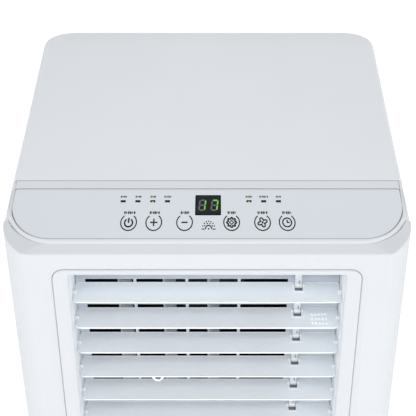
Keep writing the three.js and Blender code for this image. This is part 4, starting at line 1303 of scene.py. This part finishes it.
def dashes(name, x, y, width, height, count, material):
    """A short row of upright and level strokes in place of a printed word."""
    step = width / count
    loops = []
    for i in range(count):
        x0 = x - width / 2 + step * i
        x1 = x0 + step * 0.76
        stem = step * 0.3
        half = height / 2
        if i % 3 == 1:
            loops.append([(x0, y - half), (x0 + stem, y - half), (x0 + stem, y + half), (x0, y + half)])
            loops.append([(x0 + stem, y - 0.3), (x1, y - 0.3), (x1, y + 0.3), (x0 + stem, y + 0.3)])
        else:
            loops.append([(x0, y - half), (x1, y - half), (x1, y + half), (x0, y + half)])
    mark(name, loops, material, "panel_film")


def panel_marks():
    """Key symbols with their words, seven lamps with theirs, and the receiver mark."""
    key_marks()
    words = {"power": 8.6, "up": 7.6, "down": 7.0, "mode": 6.6, "speed": 7.6, "timer": 7.0}
    for name, width in words.items():
        dashes(f"label_{name}", key_centre(name)[0] + 0.4, WORD_Y, width, 3.1, round(width / 1.35), INK)
    half_w, half_h = 0.94, 1.4
    lamps = [(-62.9, 4.6), (-51.9, 4.6), (-40.8, 4.2), (-29.8, 5.6), (31.1, 5.2), (42.1, 6.6), (53.2, 3.8)]
    for i, (x, width) in enumerate(lamps, start=1):
        halves = [rounded_rect(c - half_w, c + half_w, LAMP_Y - half_h, LAMP_Y + half_h, 0.15, 2)
                  for c in (x - 0.95, x + 0.95)]
        mark(f"lamp_{i}", halves, INK, "display_black")
        if i in LAMPS_LIT:
            light = rounded_rect(x - 0.75, x + 0.75, LAMP_Y - 1.35, LAMP_Y - 0.15, 0.3, 3)
            mark(f"lamp_{i}_light", light, SEGMENT_ON, "display_black", base=FILM_TOP + 0.02, rise=0.09)
        dashes(f"lamp_{i}_label", x + 0.3, LAMP_WORD_Y, width, 2.3, round(width / 1.15), PALE_INK)
    receiver()


def receiver():
    """Remote receiver mark: two dotted arches over a plain arch and a dot."""
    dots = []
    for rx, ry, count in ((4.6, 6.1, 9), (3.5, 4.6, 6)):
        dots += [("fill", circle(x, y, 0.5, 10)) for x, y in arc(0, 0, rx, ry, 4, 176, count - 1)]
    printed("receiver_dots", *RECEIVER_PLACE, dots)
    printed("receiver_arch", *RECEIVER_PLACE, [("line", arc(0, 0, 2.4, 3.1, 6, 174, 16), 0.8)])
    printed("receiver_eye", *RECEIVER_PLACE, [("fill", circle(0, 0.6, 0.6, 12))])


# ---------------------------------------------------------------- sides and back
def hand_grips():
    """Pocket let into each side wall, with a soft rim and a hollow that is open outwards."""
    for side, name in ((1, "handle_cup_right"), (-1, "handle_cup_left")):
        low, high = box_mm(name)
        flange = 11
        pocket = (low.y + flange, high.y - flange, low.z + flange, high.z - flange)

        def loop(x, inset):
            outline = plate_edge(*pocket, max(1.5, 10 - inset), 8)(inset)
            return [(side * x, y, z) for y, z in outline]

        floor = HALF_W - 25
        back = HALF_W - WALL
        rings = [loop(floor, 3), loop(floor + 0.5, 1), loop(floor + 2, 0), loop(HALF_W - 3.6, 0),
                 loop(back, -1), loop(back, -flange + 0.3), loop(back + 0.3, -flange),
                 loop(HALF_W - 0.6, -flange), loop(HALF_W - 0.17, -flange + 0.17),
                 loop(HALF_W, -flange + 0.6), loop(HALF_W, -2.2)]
        mouth = 4.2
        for a in (20, 40, 60, 80, 90):
            turn = math.radians(a)
            rings.append(loop(HALF_W - mouth * (1 - math.cos(turn)), -2.2 + mouth * math.sin(turn)))
        rings += [loop(floor + 4, 2), loop(floor + 2.6, 2.6), loop(floor + 2, 4)]
        b = Build().loft(rings)
        smooth_flats(b.piece(name, "cabinet", "shell_white", SHELL_PAINTED_SHADE, sharp=40))


def grid_slots(left, right, bottom, top, columns, rows, bar, radius, steps):
    """Openings of a grid of bars inside a frame, bar wide between one opening and the next."""
    width, height = (right - left) / columns, (top - bottom) / rows
    slots = []
    for row in range(rows):
        for column in range(columns):
            x, z = left + width * column + bar / 2, bottom + height * row + bar / 2
            slots.append(opening(x, x + width - bar, z, z + height - bar, radius, steps))
    return slots


def slat_grille(name, body, rows, latch):
    """Frame of upright and level bars with rounded edges; the upper one has a latch recess."""
    low, high = box_mm(name)
    rim = 6
    slots = grid_slots(-high.x + rim, high.x - rim, low.z + rim, high.z - rim, 3, rows, 3, 2.6, 4)
    b = Build().slab(on_y, low.y, high.y, 0.6, plate_edge(*face_mm(name), 1.3, 3), *slots)
    grille = b.piece(name, body, "shell_white", SHELL_PAINTED_SHADE)
    if latch:
        foot = high.z - rim + 1
        cut(grille, Build().block((-22, 22), (high.y - 1.2, high.y + 2), (foot, foot + 3.6), 0.5))
        for x in (-12, -6, 0, 6, 12):
            join(grille, Build().block((x - 0.8, x + 0.8), (high.y - 1.5, high.y - 0.4),
                                       (foot + 0.3, foot + 3.3), 0.3))
    smooth_flats(grille)


def intake_filter():
    """Filter frame with six windows and a sheet of fine mesh set in it."""
    low, high = box_mm("intake_filter")
    rim, bar = 2, 4
    slots = grid_slots(-high.x + rim, high.x - rim, low.z + rim, high.z - rim, 2, 3, bar, 2, 3)
    b = Build().slab(on_y, low.y, high.y, 0.4, plate_edge(*face_mm("intake_filter"), 2, 3), *slots)
    smooth_flats(b.piece("intake_filter", "intake_grille", "filter_mesh", BLACK))
    sheet = plate_edge(*face_mm("intake_filter"), 1.5, 2)(rim)
    b = Build().loft([[(x, y, z) for x, z in sheet] for y in (low.y + 1.6, low.y + 2)])
    b.piece("filter_cloth", "intake_grille", "filter_mesh", MESH)


def exhaust_collar():
    """Round spigot with a seat for the hose, a locating flange and finger guard bars inside."""
    low, high = box_mm("exhaust_collar")
    z = middle_mm("exhaust_collar")[2]
    flange = (high.z - low.z) / 2
    front, back = 152, 156                              # faces of the flange
    bore, outer, end = 69.0, EXHAUST_OUTER, high.y
    profile = [(bore, low.y), (outer, low.y), (outer, front), (flange - 0.5, front),
               (flange, front + 0.5), (flange, back - 0.5), (flange - 0.5, back), (outer, back),
               (outer, end - 0.7), (outer - 0.2, end - 0.2), (outer - 0.7, end), (bore + 1.0, end),
               (bore + 0.3, end - 0.3), (bore, end - 1.0)]
    b = Build().turned("y", 0, z, profile, 96, wrap=True)
    collar = b.piece("exhaust_collar", "cabinet", "shell_white", SHELL_PAINTED_SHADE, sharp=40)
    anchor = bore + 1.2
    bar_y, half = (124, 128), 1.2
    for at in (-32.2, 0, 32.2):
        reach = math.sqrt(anchor ** 2 - at ** 2)
        join(collar, Build().block((-reach, reach), bar_y, (z + at - half, z + at + half), 0.6))
        join(collar, Build().block((at - half, at + half), bar_y, (z - reach, z + reach), 0.6))
    lug = [(2.2, front - 6), (2.6, front - 5), (2.6, back), (2.2, back + 1)]
    for angle in (90, 210, 330):
        a = math.radians(angle)
        join(collar, Build().turned("y", anchor * math.cos(a), z + anchor * math.sin(a), lug, 20))
    smooth_flats(collar)


def drains():
    drain_socket()
    drain_cap("drain_cap_upper", "drain_plug_upper")
    drain_cap("drain_cap_lower", "drain_plug_lower")


def drain_socket():
    """Short spigot with a flange behind the rear cover and a seat for its plug."""
    low, high = box_mm("drain_socket")
    x, _, z = middle_mm("drain_socket")
    outer, flange, bore, seat, end = DRAIN_OUTER, 13, 3.6, 8.6, high.y
    profile = [(bore, low.y), (outer, low.y), (outer, BACK - 7), (flange - 0.3, BACK - 7),
               (flange, BACK - 6.7), (flange, BACK - 3.2), (flange - 0.3, BACK - 2.9), (outer, BACK - 2.9),
               (outer, end - 0.4), (outer - 0.4, end), (seat + 0.4, end), (seat, end - 0.4),
               (seat, BACK - 4.5), (bore, BACK - 4.5)]
    b = Build().turned("y", x, z, profile, 48, wrap=True)
    smooth_flats(b.piece("drain_socket", "cabinet", "trim_white", TRIM, sharp=40))


def drain_cap(name, body):
    """Plug with a turning bar across its face and dents round its edge."""
    low, high = box_mm(name)
    x, _, z = middle_mm(name)
    profile = [(2.6, low.y), (3.2, low.y + 0.6), (3.2, high.y - 3.4), (7.5, high.y - 3.6),
               (8, high.y - 3.1), (8, high.y - 0.5), (7.5, high.y)]
    cap = Build().turned("y", x, z, profile, 48).piece(name, body, "black_plastic", BLACK, sharp=40)
    for side in (-1, 1):
        across = sorted((x + side * 1.4, x + side * 9))
        cut(cap, Build().block(across, (high.y - 1.6, high.y + 2), (z - 9, z + 9)))
    for i in range(12):
        a = math.radians(30 * i)
        dent = [(0.9, high.y - 5), (0.9, high.y + 1)]
        cut(cap, Build().turned("y", x + 8.5 * math.cos(a), z + 8.5 * math.sin(a), dent, 12))
    smooth_flats(cap)


def cord_gland():
    """Inlet plate with a sleeve behind it, a ring groove and a flared bore for the cord."""
    low, high = box_mm("cord_gland")
    x, _, z = middle_mm("cord_gland")
    face = high.y
    b = Build().slab(on_y, BACK - WALL, face, 0.4, plate_edge(*face_mm("cord_gland"), 4, 6, follow=1))
    plate = b.piece("cord_gland", "cabinet", "black_plastic", BLACK)
    sleeve = [(10.4, low.y), (11, low.y + 0.6), (11, BACK - 1), (11, BACK - 0.9)]
    groove = [(9.2, face - 1.6), (7.6, face - 1.6), (7.6, face + 1), (9.2, face + 1)]
    bore = [(4.6, low.y - 2), (4.6, BACK - 2.2), (5.6, BACK - 1), (5.6, BACK + 2)]
    join(plate, Build().turned("y", x, z, sleeve, 40))
    cut(plate, Build().turned("y", x, z, groove, 40, wrap=True))
    cut(plate, Build().turned("y", x, z, bore, 32))
    smooth_flats(plate)


def screws():
    """Countersunk cross-head screws of the rear cover, sunk just below its face."""
    outer, inner = 121, 96
    rows = (648, box_mm("intake_grille_upper")[1].z - 246, box_mm("intake_grille_lower")[0].z - 10)
    spots = [(side * outer, z) for side in (-1, 1) for z in rows] + [(-inner, 262), (inner, 262)]
    head = [(2.4, BACK - 1.4), (3.7, BACK - 0.5), (3.9, BACK - 0.25), (3.7, BACK - 0.12),
            (2.6, BACK - 0.04)]
    for i, (x, z) in enumerate(spots, start=1):
        b = Build().turned("y", x, z, head, 32)
        screw = b.piece(f"screw_{i}", "cabinet", "motor_steel", ZINC, sharp=40)
        for dx, dz in ((2.2, 0.42), (0.42, 2.2)):
            cut(screw, Build().block((x - dx, x + dx), (BACK - 0.8, BACK + 1), (z - dz, z + dz), 0.15))


# ---------------------------------------------------------------- inside
INSIDE = {
    "display_module": (BLACK, 0.4), "control_board": (BOARD, 0.3),
    # the cold fan housing is painted near black: painted shade seen through the guard
    "cold_fan_housing": (SHADE_LINER, 1.0), "cold_fan_wheel": (BLACK, 0.4), "cold_fan_motor": (PAINT, 1.0),
    "evaporator_coil": (FINS, 0.5), "drip_tray": (FOAM, 1.0),
    "hot_fan_housing": (FOAM, 1.0), "hot_fan_wheel": (BLACK, 0.4), "hot_fan_motor": (PAINT, 1.0),
    "condenser_coil": (FINS, 0.5), "compressor": (PAINT, 1.2), "electrical_box": (FOAM, 0.8),
    "discharge_pipe": (COPPER, 0), "suction_pipe": (COPPER, 0), "liquid_pipe": (COPPER, 0),
}


def insides():
    """Internal pieces keep their own shapes and get rounded edges and finished surfaces."""
    for node, (material, edge) in INSIDE.items():
        dress(node, material, edge)
    for name in KEY_NAMES:
        dress(f"key_{name}", KEY, 0.3)


def dress(node, material, edge):
    obj = frame["nodes"][node]
    for slot in obj.material_slots:
        slot.material = material
    if edge:
        bevelled(obj, edge, 50, 2)


# ---------------------------------------------------------------- floor, light and camera
def studio():
    floor_mesh = bpy.data.meshes.new("floor")
    bm = bmesh.new()
    reach = 6.0
    for x, y in ((-reach, -reach), (reach, -reach), (reach, reach), (-reach, reach)):
        bm.verts.new((x, y, 0))
    bm.faces.new(bm.verts)
    bm.to_mesh(floor_mesh)
    bm.free()
    floor = bpy.data.objects.new("floor", floor_mesh)
    bpy.context.scene.collection.objects.link(floor)
    surface = plastic("floor_white", (0.93, 0.93, 0.93), 0.8, 40, 0.01, 0.004)
    floor_shader = surface.node_tree.nodes["Principled BSDF"]
    floor_shader.inputs["Emission Color"].default_value = (1, 1, 1, 1)
    floor_shader.inputs["Emission Strength"].default_value = FLOOR_GLOW
    floor_mesh.materials.append(surface)
    world = bpy.data.worlds.new("studio")
    world.use_nodes = True
    background = world.node_tree.nodes["Background"]
    background.inputs["Color"].default_value = (1.0, 1.0, 1.0, 1)
    background.inputs["Strength"].default_value = WORLD_LIGHT
    scene = bpy.context.scene
    scene.world = world
    scene.view_settings.view_transform = "Standard"
    for name, place, aim, size, energy in LIGHTS:
        data = bpy.data.lights.new(name, "AREA")
        data.shape = "RECTANGLE"
        data.size, data.size_y = size
        data.energy = energy
        lamp = bpy.data.objects.new(name, data)
        scene.collection.objects.link(lamp)
        lamp.location = place
        lamp.rotation_euler = (Vector(aim) - Vector(place)).to_track_quat("-Z", "Y").to_euler()
    data = bpy.data.cameras.new("camera")
    data.lens = CAMERA_LENS
    data.sensor_width = 36
    data.shift_x = CAMERA_SHIFT
    data.clip_end = 30
    camera = bpy.data.objects.new("camera", data)
    scene.collection.objects.link(camera)
    camera.location = CAMERA_PLACE
    camera.rotation_euler = (math.radians(CAMERA_PITCH), 0, 0)
    scene.camera = camera


# ---------------------------------------------------------------- assembly
for make in (top_cover, shade_strips, rear_cover, front_cover, control_moulding, base_pan, outlet_frame,
             outlet_guard, louvers, louver_link, vanes, control_film, display_window, panel_marks,
             hand_grips, intake_filter, exhaust_collar, drains, cord_gland, screws, insides):
    make()
slat_grille("intake_grille_upper", "intake_grille", 12, latch=True)
slat_grille("intake_grille_lower", "cabinet", 6, latch=False)
for number in range(1, 5):
    castor_fork(number)
    castor_wheel(number)
studio()
